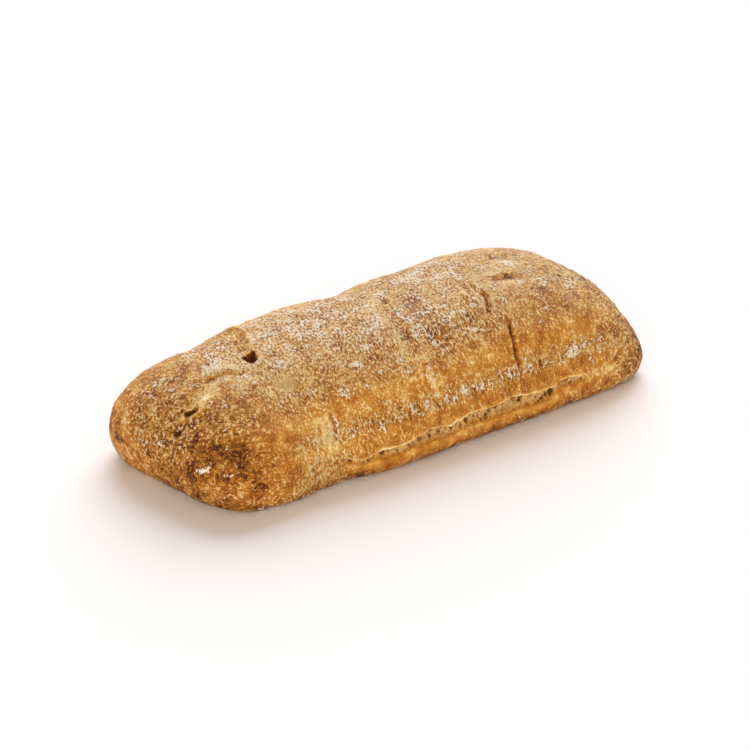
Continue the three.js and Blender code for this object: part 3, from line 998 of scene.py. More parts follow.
@dataclass(frozen=True)
class BakedCrust(Finish):
    """Thin wheat crust, baked golden on a stretched dough and dusted with raw flour.

    The skin is covered in flaky ridges a millimetre or so across, drawn out across the loaf where
    the dough was stretched, with browner gaps between them, and flour clings to their tops. Painted
    shade darkens the gaps further and a painted highlight pales the crests. Thin places stay
    straw-coloured and edges toast to chestnut. It is matt, with a faint sheen.
    """

    name: str = "baked_wheat_crust"
    roughness: float = 0.55
    floured_roughness: float = 0.95
    specular: float = 0.2
    straw: str = "#fde3a6"
    golden: str = "#daa347"
    amber: str = "#c27d2c"
    chestnut: str = "#94581c"
    scorched: str = "#552808"
    baked_at: tuple[float, ...] = (0.0, 0.27, 0.5, 0.78, 1.0)  # how brown each of these five is
    flour: str = "#fff7ec"
    dusting: str = "#fde3b0"
    dust: str = "#e8cb98"
    window: str = "#b99a64"
    ridge: tuple[float, float] = (1.15, 2.0)  # along and across the loaf, where the dough is stretched
    round_ridge: float = 1.45
    speck: float = 0.6
    toast: float = 5.0
    clump: float = 7.0
    ridge_share: float = 1.1  # of the flakes' height
    speck_share: float = 0.75
    clump_paleness: float = 0.15
    speck_paleness: float = 0.12
    height_paleness: float = 0.04
    fold_paleness: float = 0.1
    gap: Span = (0.42, 0.0)  # the flakes' height where the gaps begin, and where they are deepest
    crest: Span = (0.54, 0.86)  # the same for their crests
    # painted shade in the gaps between the ridges, with their browner colour
    gap_browning_and_shade: float = 0.29
    floured_gap_browning_and_shade: float = 0.45  # more, where flour lies
    # painted highlight on the ridges' crests, with their paler colour
    crest_paleness_and_highlight: float = 0.54
    sleek_crests: float = 0.22  # the share of that paleness which sleek skin keeps
    blotches: Span = (0.52, 0.32)  # how far it toasts in blotches, at the ends and where it is stretched
    veil: float = 0.04  # the thinnest flour, which only dulls the colour
    veil_flour: Span = (0.1, 0.6)
    veil_flakes: Span = (0.15, 0.6)
    window_flakes: Span = (0.1, 0.95)
    flaky_window: float = 0.7  # how clear a window is on its highest flakes
    flour_clumps: float = 0.6
    flour_blotches: float = 0.36
    height_flour: float = 0.05
    fold_flour: float = 0.1
    flour_begins: Span = (0.97, 1.11)
    flour_cover: Span = (0.86, 0.98)  # of its thin places and of its thick ones
    flour_thickens: Span = (1.0, 1.4)
    flour_cakes: Span = (1.05, 1.55)
    matt_cover: float = 0.6  # the cover from which the crust is quite matt
    ridge_height: float = 0.5
    speck_height: float = 0.25
    flour_height: float = 0.25

    def paint(self, tree: bpy.types.NodeTree, shader: bpy.types.Node) -> None:
        """Adds the crust's pattern: browning, flaky ridges, flour on their tops, and their bumps.

        Args:
            tree: The material's node tree.
            shader: Its shader.
        """
        skin = self.skin(tree)
        colour, cover, dusted = self.floured(tree, skin, self.browned(tree, skin))
        tree.links.new(colour, shader.inputs["Base Color"])
        relief = self.relief(tree, skin, dusted)
        bump = add_node(tree, "ShaderNodeBump", Strength=1.0, Distance=MM, Height=relief)
        tree.links.new(bump.outputs["Normal"], shader.inputs["Normal"])
        matt = add_node(
            tree, "ShaderNodeMapRange", Value=cover,
            From_Max=self.matt_cover, To_Min=self.roughness, To_Max=self.floured_roughness,
        )
        tree.links.new(matt.outputs["Result"], shader.inputs["Roughness"])

    def skin(self, tree: bpy.types.NodeTree) -> dict[str, bpy.types.NodeSocket]:
        """Reads the marks on the crust and draws its grains.

        Args:
            tree: The material's node tree.

        Returns:
            The values' sockets, by name. Flake is the height of the flaky ridges, and bare is 1
            where the skin isn't sleek.
        """
        skin = {
            name: add_node(tree, "ShaderNodeAttribute", {"attribute_name": name}).outputs["Fac"]
            for name in ("browning_and_shade", "flour", "fold", "height", "sleek", "stretched", "window")
        }
        over_crust = add_node(tree, "ShaderNodeAttribute", {"attribute_name": "over_crust"}).outputs["Vector"]
        drawn = grain(tree, over_crust, (*self.ridge, 1.0))
        place = place_in_mm(tree)
        rounded, skin["specks"], skin["toasting"], skin["clumps"] = (
            grain(tree, place, (size,) * 3) for size in (self.round_ridge, self.speck, self.toast, self.clump)
        )
        ridge = add_node(
            tree, "ShaderNodeMix", Mode.NUMBERS, in_0=skin["stretched"], in_2=rounded, in_3=drawn
        ).outputs[0]
        skin["flake"] = weighted_sum(
            tree, 0.5, (ridge, 0.5, self.ridge_share), (skin["specks"], 0.5, self.speck_share)
        )
        skin["bare"] = add_node(tree, "ShaderNodeMath", Mode.SUBTRACT, in_0=1.0, in_1=skin["sleek"]).outputs[0]
        return skin

    def browned(self, tree: bpy.types.NodeTree, skin: dict[str, bpy.types.NodeSocket]) -> bpy.types.NodeSocket:
        """Colours the crust under its flour, with painted shade in the gaps and painted highlight on the crests.

        Args:
            tree: The material's node tree.
            skin: The skin's values.

        Returns:
            The colour's socket.
        """
        # Blotches that toasted more.
        toasting = add_node(tree, "ShaderNodeMath", Mode.SUBTRACT, in_0=skin["toasting"], in_1=0.5)
        strength = add_node(
            tree, "ShaderNodeMapRange", Value=skin["stretched"], To_Min=self.blotches[0], To_Max=self.blotches[1]
        )
        blotches = add_node(
            tree, "ShaderNodeMath", Mode.MULTIPLY, in_0=toasting.outputs[0], in_1=strength.outputs["Result"]
        ).outputs[0]

        # Darker gaps between the ridges, most of all under flour: partly the crust's browner colour, partly painted
        # shade.
        low = add_node(
            tree, "ShaderNodeMapRange", Mode.EASED, Value=skin["flake"], From_Min=self.gap[0], From_Max=self.gap[1]
        )
        shaded_gaps = add_node(tree, "ShaderNodeMath", Mode.MULTIPLY, in_0=low.outputs["Result"], in_1=skin["bare"])
        darker = add_node(tree, "ShaderNodeMath", Mode.MULTIPLY, in_0=skin["flour"], in_1=self.floured_gap_browning_and_shade)
        darker = add_node(tree, "ShaderNodeMath", Mode.ADD, in_0=darker.outputs[0], in_1=self.gap_browning_and_shade)
        shaded_gaps = add_node(tree, "ShaderNodeMath", Mode.MULTIPLY, in_0=shaded_gaps.outputs[0], in_1=darker.outputs[0]).outputs[0]

        # Paler crests on them, fewer where the skin is sleek: partly the crust's paler colour, partly painted
        # highlight.
        high = add_node(
            tree, "ShaderNodeMapRange", Mode.EASED, Value=skin["flake"], From_Min=self.crest[0], From_Max=self.crest[1]
        )
        kept = add_node(tree, "ShaderNodeMapRange", Value=skin["sleek"], To_Min=1.0, To_Max=self.sleek_crests)
        highlit_crests = add_node(
            tree, "ShaderNodeMath", Mode.MULTIPLY, in_0=high.outputs["Result"], in_1=kept.outputs["Result"]
        ).outputs[0]

        tone = weighted_sum(
            tree, skin["browning_and_shade"], (blotches, 0.0, 1.0), (skin["clumps"], 0.5, -self.clump_paleness),
            (skin["specks"], 0.5, -self.speck_paleness), (shaded_gaps, 0.0, 1.0), (highlit_crests, 0.0, -self.crest_paleness_and_highlight),
            (skin["height"], 0.0, -self.height_paleness), (skin["fold"], 0.0, -self.fold_paleness),
        )
        baked = add_node(tree, "ShaderNodeValToRGB", in_0=tone)
        shades = (self.straw, self.golden, self.amber, self.chestnut, self.scorched)
        elements = baked.color_ramp.elements
        while len(elements) < len(shades):
            elements.new(0.5)
        for element, position, shade in zip(elements, self.baked_at, shades):
            element.position = position
            element.color = linear(shade)

        # The thinnest flour dulls it, and the thin clear skin of a window shows grey-gold.
        begins, whole = self.veil_flour
        thinly = add_node(
            tree, "ShaderNodeMapRange", Value=skin["flour"], From_Min=begins, From_Max=whole, To_Max=self.veil
        )
        begins, whole = self.veil_flakes
        raised = add_node(
            tree, "ShaderNodeMapRange", Mode.EASED, Value=skin["flake"], From_Min=begins, From_Max=whole
        )
        veil = add_node(
            tree, "ShaderNodeMath", Mode.MULTIPLY, in_0=thinly.outputs["Result"], in_1=raised.outputs["Result"]
        )
        veiled = add_node(
            tree, "ShaderNodeMix", Mode.COLOURS,
            in_0=veil.outputs[0], in_6=baked.outputs["Color"], in_7=linear(self.dust),
        )
        begins, whole = self.window_flakes
        even = add_node(
            tree, "ShaderNodeMapRange", Value=skin["flake"],
            From_Min=begins, From_Max=whole, To_Min=1.0, To_Max=self.flaky_window,
        )
        clear = add_node(tree, "ShaderNodeMath", Mode.MULTIPLY, in_0=skin["window"], in_1=even.outputs["Result"])
        return add_node(
            tree, "ShaderNodeMix", Mode.COLOURS,
            in_0=clear.outputs[0], in_6=veiled.outputs[2], in_7=linear(self.window),
        ).outputs[2]

    def floured(
        self, tree: bpy.types.NodeTree, skin: dict[str, bpy.types.NodeSocket], crust: bpy.types.NodeSocket
    ) -> tuple[bpy.types.NodeSocket, bpy.types.NodeSocket, bpy.types.NodeSocket]:
        """Dusts the crust. Flour clings to the highest ridges first, and cakes over all where it is thick.

        Args:
            tree: The material's node tree.
            skin: The skin's values.
            crust: The colour under the flour.

        Returns:
            The sockets of the colour, of how much the flour covers, and of where it lies.
        """
        share = weighted_sum(
            tree, skin["flour"], (skin["clumps"], 0.5, self.flour_clumps),
            (skin["toasting"], 0.5, self.flour_blotches), (skin["height"], 0.0, self.height_flour),
            (skin["fold"], 0.0, self.fold_flour),
        )
        level = add_node(tree, "ShaderNodeMath", Mode.ADD, in_0=skin["flake"], in_1=share).outputs[0]
        begins, whole = self.flour_begins
        dusted = add_node(
            tree, "ShaderNodeMapRange", Mode.EASED, Value=level, From_Min=begins, From_Max=whole
        ).outputs["Result"]
        begins, whole = self.flour_thickens
        thin, thick = self.flour_cover
        dense = add_node(
            tree, "ShaderNodeMapRange", Value=level, From_Min=begins, From_Max=whole, To_Min=thin, To_Max=thick
        )
        cover = add_node(tree, "ShaderNodeMath", Mode.MULTIPLY, in_0=dusted, in_1=dense.outputs["Result"]).outputs[0]
        begins, whole = self.flour_cakes
        caked = add_node(tree, "ShaderNodeMapRange", Mode.EASED, Value=level, From_Min=begins, From_Max=whole)
        powder = add_node(
            tree, "ShaderNodeMix", Mode.COLOURS,
            in_0=caked.outputs["Result"], in_6=linear(self.dusting), in_7=linear(self.flour),
        )
        colour = add_node(tree, "ShaderNodeMix", Mode.COLOURS, in_0=cover, in_6=crust, in_7=powder.outputs[2])
        return colour.outputs[2], cover, dusted

    def relief(
        self, tree: bpy.types.NodeTree, skin: dict[str, bpy.types.NodeSocket], dusted: bpy.types.NodeSocket
    ) -> bpy.types.NodeSocket:
        """Raises the ridges, the specks and the flour, in shares of a millimetre.

        Args:
            tree: The material's node tree.
            skin: The skin's values.
            dusted: Where flour lies.

        Returns:
            The height's socket.
        """
        ridges = add_node(tree, "ShaderNodeMath", Mode.MULTIPLY, in_0=skin["flake"], in_1=self.ridge_height)
        flaky = weighted_sum(tree, ridges.outputs[0], (skin["specks"], 0.5, self.speck_height))
        flaky = add_node(tree, "ShaderNodeMath", Mode.MULTIPLY, in_0=flaky, in_1=skin["bare"])
        flour = add_node(tree, "ShaderNodeMath", Mode.MULTIPLY, in_0=dusted, in_1=self.flour_height)
        return add_node(tree, "ShaderNodeMath", Mode.ADD, in_0=flaky.outputs[0], in_1=flour.outputs[0]).outputs[0]


@dataclass(frozen=True)
class OpenCrumb(Finish):
    """Moist wheat crumb bared by a tear: a cream net of thin walls round pores darkened olive-brown with painted
    shade.
    """

    name: str = "open_wheat_crumb"
    roughness: float = 0.7
    specular: float = 0.3
    wall: str = "#e8c98c"
    # the painted shade of the pores and of the hollows between the walls
    pore: str = "#6b4218"
    toasted: str = "#c68a33"
    grain: float = 1.1
    cell: float = 1.5
    cell_height: float = 1.9  # how much taller than wide the cells are
    bends: float = 1.1  # in the cells' walls, to each millimetre
    wall_edge: Span = (0.03, 0.24)  # the shares of a cell between which its wall turns into its hollow
    # painted shade in the little cells between the walls
    shade: float = 0.8  # of the little cells between the walls
    toasted_grain: float = 0.25
    grain_height: float = 0.25

    def paint(self, tree: bpy.types.NodeTree, shader: bpy.types.Node) -> None:
        """Adds the crumb's pattern: painted shade in its pores and hollows, toasted edges and a fine grain.

        Args:
            tree: The material's node tree.
            shader: Its shader.
        """
        toasted, pore = (
            add_node(tree, "ShaderNodeAttribute", {"attribute_name": name}).outputs["Fac"]
            for name in ("toasted", "pore")
        )
        place = place_in_mm(tree)
        fine = add_node(tree, "ShaderNodeTexNoise", Vector=place, Scale=1 / self.grain, Detail=3.0).outputs["Fac"]
        wobble = add_node(tree, "ShaderNodeTexNoise", Vector=place, Scale=self.bends, Detail=2.0).outputs["Color"]
        bent = add_node(tree, "ShaderNodeVectorMath", Mode.ADD, in_0=place, in_1=wobble).outputs[0]
        size = (self.cell, self.cell, self.cell_height * self.cell)
        drawn = add_node(tree, "ShaderNodeVectorMath", Mode.DIVIDE, in_0=bent, in_1=size).outputs[0]
        walls = add_node(tree, "ShaderNodeTexVoronoi", Mode.TO_CELL_EDGE, Vector=drawn, Scale=1.0).outputs["Distance"]
        begins, whole = self.wall_edge
        shaded_hollows = add_node(
            tree, "ShaderNodeMapRange", Mode.EASED, Value=walls, From_Min=begins, From_Max=whole, To_Max=self.shade
        )
        cells = add_node(tree, "ShaderNodeMath", Mode.MULTIPLY, in_0=shaded_hollows.outputs["Result"], in_1=fine)
        deep = add_node(tree, "ShaderNodeMath", Mode.ADD, in_0=pore, in_1=cells.outputs[0])
        specks = add_node(tree, "ShaderNodeMath", Mode.MULTIPLY, in_0=fine, in_1=self.toasted_grain)
        brown = add_node(tree, "ShaderNodeMath", Mode.ADD, in_0=toasted, in_1=specks.outputs[0])
        wall = add_node(
            tree, "ShaderNodeMix", Mode.COLOURS,
            in_0=brown.outputs[0], in_6=linear(self.wall), in_7=linear(self.toasted),
        )
        crumb = add_node(
            tree, "ShaderNodeMix", Mode.COLOURS, in_0=deep.outputs[0], in_6=wall.outputs[2], in_7=linear(self.pore)
        )
        tree.links.new(crumb.outputs[2], shader.inputs["Base Color"])
        bump = add_node(tree, "ShaderNodeBump", Strength=1.0, Distance=self.grain_height * MM, Height=fine)
        tree.links.new(bump.outputs["Normal"], shader.inputs["Normal"])


@dataclass(frozen=True)
class RawFlour(Finish):
    """Raw wheat flour in little clots: cream white and quite matt."""

    name: str = "raw_wheat_flour"
    roughness: float = 0.95
    specular: float = 0.1
    pale: str = "#f8f0e0"
    toasted: str = "#ecd9b2"
    mottle: float = 5.0

    def paint(self, tree: bpy.types.NodeTree, shader: bpy.types.Node) -> None:
        """Makes some clots paler than others.

        Args:
            tree: The material's node tree.
            shader: Its shader.
        """
        place = add_node(tree, "ShaderNodeTexCoord").outputs["Object"]
        mottle = add_node(tree, "ShaderNodeTexNoise", Vector=place, Scale=1 / (self.mottle * MM)).outputs["Fac"]
        colour = add_node(
            tree, "ShaderNodeMix", Mode.COLOURS, in_0=mottle, in_6=linear(self.pale), in_7=linear(self.toasted)
        )
        tree.links.new(colour.outputs[2], shader.inputs["Base Color"])


@dataclass(frozen=True)
class TablePaper(Finish):
    """Plain white studio paper."""

    name: str = "white_studio_paper"
    roughness: float = 0.9
    specular: float = 0.1
    white: str = "#faf9ff"

    def paint(self, tree: bpy.types.NodeTree, shader: bpy.types.Node) -> None:
        """Sets the plain white.

        Args:
            tree: The material's node tree, which needs nothing more.
            shader: Its shader.
        """
        shader.inputs["Base Color"].default_value = linear(self.white)


# ---------------------------------------------------------------- the crust


@dataclass(frozen=True)
class Skin:
    """What lies where on the crust, at each of its points. Shares run from 0, none, to 1, whole."""

    points: Array  # the smooth loaf
    places: Array  # millimetres along and over it
    end: Array  # how far into an end
    stretched: Array  # how far the dough was drawn out
    smooth_band: Array  # how far into the bare bands along the near side
    web: Array  # where a last web of skin spans the small blister
    window: Array  # where the skin is thin and clear
    bared: Array  # where a blister has torn open
    # how far into a blister's hole, which is darkened there as painted shade
    shaded_holes: Array  # how deep in a blister's hole
    rims: Array  # nearness to that hole's edge
    opened: Array  # where a tear gapes
    lips: Array  # nearness to a tear's lips
    edges: Array  # nearness to a tear's pale upper edge
    creased: Array  # depth of the folds, in millimetres
    # the folds' raised sides, painted paler as a highlight
    flanks: Array  # the folds' raised sides


@dataclass(frozen=True)
class Sleekness:
    """How sleek the skin is, from 0, flaky, to 1. Each number is what one thing adds."""

    window: float = 0.7
    smooth_band: float = 0.68
    by_tears: float = 0.45
    by_tears_over: Span = (12.0, 8.0)
    by_tears_ends: tuple[Span, Span] = ((-66.0, -50.0), (104.0, 90.0))
    web: float = 0.8
    far_side: float = 0.55
    far_side_over: Span = (96.0, 122.0)
    left_side: float = 0.32
    left_side_along: Span = (-78.0, -96.0)
    left_side_over: Span = (52.0, 30.0)
    hole: float = 0.6
    rim: float = 0.5

    def at(self, skin: Skin) -> Array:
        """Gives how sleek a skin is.

        Args:
            skin: What lies where on the crust.

        Returns:
            From 0, flaky, to 1, one for each point.
        """
        x, over = skin.places.T
        begins, ends = self.by_tears_ends
        by_tears = ramp(over, *self.by_tears_over) * ramp(x, *begins) * ramp(x, *ends)
        left_side = self.left_side * ramp(x, *self.left_side_along) * ramp(over, *self.left_side_over)
        calm = self.by_tears * by_tears + self.web * skin.web
        calm = calm + self.far_side * ramp(over, *self.far_side_over) + left_side
        sleek = self.window * skin.window + self.smooth_band * skin.smooth_band + calm + skin.lips
        return np.clip(sleek + self.hole * skin.shaded_holes + self.rim * skin.rims, 0, 1)


@dataclass(frozen=True)
class Dusting:
    """How much flour lies on the crust, from 0 to about 1, all white. Most numbers are what one thing adds."""

    everywhere: float = 0.10
    crown: float = 0.26
    crown_over: Span = (30.0, 66.0)  # from the nearer of the two widest lines
    end: float = -0.26
    row: float = 0.28  # of flecks along each side
    row_over: float = 18.5
    row_width: float = 3.6
    row_ends: tuple[Span, Span] = ((-66.0, -50.0), (100.0, 84.0))
    smooth_band: float = -0.15
    most: float = 0.5  # the most of it all so far
    crease: float = -0.35
    crease_depths: Span = (0.2, 0.7)
    near_foot: float = -0.2
    near_foot_over: tuple[Span, Span] = ((13.0, 9.0), (-7.0, -2.0))
    rim: Span = (0.2, 0.3)  # of the base, where flour gathers, and more of it towards the left
    rim_height: Span = (3.4, 1.8)
    rim_along: Span = (-30.0, -60.0)
    bared: float = -0.4
    hole: float = -0.8
    window: float = -0.6
    shadowed: Patch = Patch((-62, 102), (6, 8), -0.5)  # behind the large blister

    def at(self, skin: Skin) -> Array:
        """Gives the flour on a skin.

        Args:
            skin: What lies where on the crust.

        Returns:
            From 0, none, to about 1, all white, one for each point.
        """
        x, over = skin.places.T
        side = np.minimum(over, GIRTH - over)
        dusting = self.everywhere + self.crown * ramp(side, *self.crown_over) + self.end * skin.end
        begins, ends = self.row_ends
        dusting += self.row * (fall(side - self.row_over, self.row_width) * ramp(x, *begins) * ramp(x, *ends))
        dusting += mark(skin.places, FLOUR_PATCHES) + self.smooth_band * skin.smooth_band
        dusting = np.minimum(dusting, self.most) + mark(skin.places, FLOUR_DABS)
        upper, lower = self.near_foot_over
        near_foot = self.near_foot * ramp(over, *upper) * ramp(over, *lower) * (1 - skin.end)
        dusting += self.crease * ramp(skin.creased, *self.crease_depths) + near_foot
        gathered, more = self.rim
        dusting += ramp(skin.points[:, 2], *self.rim_height) * (gathered + more * ramp(x, *self.rim_along))
        dusting += self.bared * skin.bared + self.hole * skin.shaded_holes + self.window * skin.window
        return (dusting + mark(skin.places, (self.shadowed,))) * (1 - skin.opened)


@dataclass(frozen=True)
class BrowningAndShade:
    """How brown the crust is, from 0, straw, to 1, scorched, with painted shade in folds and holes. Each number is
    what one thing adds.
    """

    everywhere: float = 0.34
    left_end: float = 0.16
    left_end_along: Span = (-84.0, -112.0)
    right_end: float = 0.17
    right_end_along: Span = (96.0, 120.0)
    near_band: float = 0.06
    near_band_over: Span = (26.0, 10.0)  # its middle and its width
    near_foot: float = 0.1
    near_foot_over: Span = (18.0, 8.0)
    far_band: float = 0.22
    far_band_over: Span = (12.0, 8.0)  # from the far widest line: its middle and its width
    foot: float = 0.26
    foot_height: Span = (8.0, 3.0)
    foot_at_ends: float = 0.4  # the share of that which the ends lack
    # painted shade in the folds, darker as they deepen
    crease: float = 0.45  # for each millimetre past the least depth, up to the most
    crease_depths: Span = (0.3, 1.5)
    lip: float = -0.08
    bared: float = -0.1
    # painted shade darkening the blisters' holes and the skin just round them
    hole: float = 0.8
    clouds: tuple[Uneven, ...] = (
        Uneven(12.0, 0.08, Draw.BROWN_CLOUDS),
        Uneven(5.5, 0.06, Draw.SMALL_BROWN_CLOUDS),
    )
    # painted highlight: the folds' raised flanks are paler
    flank: float = -0.22
    rim: float = -0.2
    edge: float = -0.34
    web: float = -0.4

    def at(self, skin: Skin) -> Array:
        """Gives how brown a skin is.

        Args:
            skin: What lies where on the crust.

        Returns:
            From 0, straw, to 1, scorched, one for each point.
        """
        x, over = skin.places.T
        tone = self.everywhere + self.left_end * ramp(x, *self.left_end_along)
        tone += self.right_end * ramp(x, *self.right_end_along)
        near, near_width = self.near_band_over
        tone += self.near_band * fall(over - near, near_width) + self.near_foot * ramp(over, *self.near_foot_over)
        tone += mark(skin.places, BROWNING_PATCHES)
        far, far_width = self.far_band_over
        tone += self.far_band * fall(GIRTH - over - far, far_width)
        tone += self.foot * ramp(skin.points[:, 2], *self.foot_height) * (1 - self.foot_at_ends * skin.end)
        least, most = self.crease_depths
        tone += self.crease * np.clip(skin.creased - least, 0, most - least) + self.lip * skin.lips
        tone += self.bared * skin.bared * (1 - skin.shaded_holes) + self.hole * skin.shaded_holes
        tone = layered(skin.points, self.clouds, tone)
        return tone + self.flank * skin.flanks + self.rim * skin.rims + self.edge * skin.edges + self.web * skin.web


@dataclass
class Crust:
    """The whole skin of the loaf, from the crown round to the flat base."""

    surface: CrustSurface = field(default_factory=CrustSurface)
    finish: Finish = field(default_factory=BakedCrust)
    sleekness: Sleekness = Sleekness()
    dusting: Dusting = Dusting()
    browning_and_shade: BrowningAndShade = BrowningAndShade()
    columns: int = 416
    rows: int = 212
    tuck_rows: int = 8
    near_packing: float = 0.3  # draws rows towards the near side, where the tears are
    base_below: float = 60.0  # how far under the widest line the base's middle counts as lying
    end_begins: Span = (-78.0, 80.0)  # at the left and the right
    end_whole: Span = (-108.0, 112.0)
    tucked_height: Span = (9.0, 3.0)
    tucked_stretch: float = 0.7  # how much less the dough is drawn out low on the sides
    right_stretch: float = 0.55  # and at the right
    right_along: Span = (40.0, 66.0)
    webs: tuple[Patch, ...] = (Patch((-104.2, 66.2), (2.8, 1.5), 1.0),)
    windows: tuple[Patch, ...] = (Patch((-71, 50.4), (5.2, 4.2), 1.5), Patch((-13.5, 35), (3.0, 2.0), 0.6))
    window_edge: Span = (0.1, 1.1)
    clearest: float = 0.85
    smooth_bands: tuple[tuple[float, float, float], ...] = ((28.0, 8.0, 1.0), (12.5, 3.2, 0.9))  # over, width, share
    bends: Uneven = Uneven((16.0, 22.0, 1.0), 1.6, Draw.WRINKLE_BENDS)
    wrinkles: tuple[Uneven, ...] = (
        Uneven((2.3, 12.0, 1.0), 0.65, Draw.WRINKLES),
        Uneven((1.5, 6.5, 1.0), 0.35, Draw.SMALL_WRINKLES),
    )
    wrinkle_lift: float = 0.24
    end_wrinkles: float = 0.35  # the share of that which skin keeps where it isn't drawn out
    grain: float = 2.0
    grain_radius: float = 0.75  # as a share of their distance
    grain_floor: float = -0.4
    least_grain: float = 0.4
    grain_lift: float = 0.42
    middle_grains: float = 0.45  # the share of that which the grains keep between the ends
    lumps: tuple[Uneven, ...] = (Uneven(5.5, 1.5, Draw.LUMPS), Uneven(3.1, 0.8, Draw.SMALL_LUMPS))
    lump_lift: float = 0.16
    smoothed: float = 0.65  # how much of the fine relief the smooth bands lack
    mean_height: Span = (0.25, 0.4)  # turns the fine relief into shares round its middle
    margin: float = 0.2  # left for the flour's grains inside the plain loaf's box
    give: float = 0.8
    free_below: float = -10.0  # the base lies on the table already, so nothing presses it
    slant: float = 0.3  # how far the folds lean along the loaf for each millimetre over it
    slant_over: Span = (42.0, 102.0)
    flow_steps: int = 801

    def cloth(self) -> tuple[Array, Array]:
        """Lays a square cloth over the plan.

        Returns:
            Each knot's share of the half length and of the half width.
        """
        p, even = np.meshgrid(np.linspace(-1, 1, self.columns + 1), np.linspace(-1, 1, self.rows + 1))
        q = np.where(even < 0, -1 + (1 + even) * (1 + self.near_packing * even), even)
        p, q = p.ravel(), q.ravel()
        ring = np.maximum(np.abs(p), np.abs(q))
        corner = self.surface.form.corner(p, q)
        spread = (np.abs(p) ** corner + np.abs(q) ** corner) ** (1 / corner)
        reach = np.where(ring > 0, np.sin(ring * math.pi / 2) / np.maximum(spread, TINY), 0)
        return p * reach, q * reach

    def lay(self) -> tuple[Array, Array, Array, Array, Array, Array]:
        """Builds the smooth closed loaf.

        Returns:
            Points, quads, base triangles, and each point's share of length, section angle and
            millimetres below the widest line.
        """
        form = self.surface.form
        along, across = self.cloth()
        angle = form.section_angle(along, across)
        points = form.crust(along, angle)
        quads = [grid_faces(self.rows, self.columns)]
        upper = grid_border(self.rows, self.columns)
        rim = points[upper]
        tangent = np.roll(rim, -1, 0) - np.roll(rim, 1, 0)
        tangent[:, 2] = 0
        tangent /= np.linalg.norm(tangent, axis=1, keepdims=True)
        inwards = np.stack([-tangent[:, 1], tangent[:, 0], np.zeros(len(rim))], -1)
        inset = form.base_inset_sides + (form.base_inset_ends - form.base_inset_sides) * inwards[:, 0] ** 2
        rim_along, rim_angle = along[upper], angle[upper]
        below = [np.zeros(len(points))]
        for row in range(1, self.tuck_rows + 1):
            turn = row / self.tuck_rows * math.pi / 2
            tucked = rim + inwards * (inset * (1 - math.cos(turn)))[:, None]
            tucked[:, 2] = rim[:, 2] * (1 - math.sin(turn))
            lower = len(points) + np.arange(len(rim))
            quads.append(np.stack([lower, np.roll(lower, -1), np.roll(upper, -1), upper], -1))
            points = np.concatenate([points, tucked])
            below.append(rim[:, 2] * turn)
            along, angle = np.concatenate([along, rim_along]), np.concatenate([angle, rim_angle])
            upper = lower
        middle = len(points)
        points = np.concatenate([points, [[0.0, 0.0, 0.0]]])
        along, angle = np.append(along, 0.0), np.append(angle, 0.0)
        base = np.stack([np.full(len(upper), middle), np.roll(upper, -1), upper], -1)
        below.append(np.array([self.base_below]))
        return points, np.concatenate(quads), base, along, angle, np.concatenate(below)

    def skin(self, points: Array, places: Array) -> tuple[Skin, Array]:
        """Tells what lies where on the smooth loaf.

        Args:
            points: The smooth loaf's points.
            places: Their millimetres along and over the loaf.

        Returns:
            The skin, and how far its broad relief lifts each point.
        """
        blister_lift, bared, shaded_holes, rims = self.surface.blisters(points)
        tear_lift, opened, lips, edges = self.surface.tears(points)
        creased, flanks = self.surface.creases(points)
        lift = self.surface.broad_relief(points) - creased + blister_lift + tear_lift
        x, over = places.T
        left, right = (ramp(x, begins, whole) for begins, whole in zip(self.end_begins, self.end_whole))
        end = np.maximum(left, right)
        stretched = (1 - end) * (1 - self.tucked_stretch * ramp(points[:, 2], *self.tucked_height))
        stretched = stretched * (1 - self.right_stretch * ramp(x, *self.right_along))
        bands = [share * fall(over - middle, width) for middle, width, share in self.smooth_bands]
        skin = Skin(
            points, places, end, stretched, smooth_band=np.maximum(*bands) * (1 - end), web=mark(places, self.webs),
            window=self.clearest * ramp(mark(places, self.windows), *self.window_edge), bared=bared, shaded_holes=shaded_holes,
            rims=rims, opened=opened, lips=lips, edges=edges, creased=creased, flanks=flanks,
        )
        return skin, lift

    def wrinkled(self, flow: Array) -> Array:
        """Gives the wrinkles that run across the drawn-out dough, at places over the skin."""
        bent = flow.copy()
        bent[:, 0] += self.bends.at(flow)
        return layered(bent, self.wrinkles)

    def fine_relief(self, skin: Skin, wrinkles: Array) -> Array:
        """Shapes the fine relief: wrinkles where the dough is stretched, rounded grains at the ends.

        Args:
            skin: What lies where.
            wrinkles: The wrinkles at its points.

        Returns:
            How far it lifts each point.
        """
        seeds, own = nearest_seed(skin.points, self.grain, Draw.GRAINS)
        grains = np.clip(1 - (seeds / self.grain_radius) ** 2, self.grain_floor, 1)
        grains = grains * (self.least_grain + (1 - self.least_grain) * own)
        fine = wrinkles * self.wrinkle_lift * (self.end_wrinkles + skin.stretched)
        fine += grains * self.grain_lift * (self.middle_grains + (1 - self.middle_grains) * skin.end)
        fine = (fine + self.lump_lift * layered(skin.points, self.lumps)) * (1 - self.smoothed * skin.smooth_band)
        return fine * (1 - skin.window) * ((1 - skin.opened) * (1 - skin.shaded_holes))

    def build(self) -> bpy.types.Object:
        """Shapes the crust and marks it.

        Returns:
            The piece.
        """
        surface, form = self.surface, self.surface.form
        points, quads, base, along, angle, below = self.lay()
        over = form.over(angle) + np.where(angle < math.pi / 2, -below, below)
        skin, lift = self.skin(points, np.stack([along * form.half_length, over], -1))
        fade = smooth(points[:, 2] / surface.relief_fade)
        shaped = points + vertex_normals(points, quads) * (lift * fade)[:, None]
        flow = self.flow_map(along, over)
        wrinkles = self.wrinkled(flow)
        fine = self.fine_relief(skin, wrinkles)
        shaped += vertex_normals(shaped, quads) * (fine * fade)[:, None]

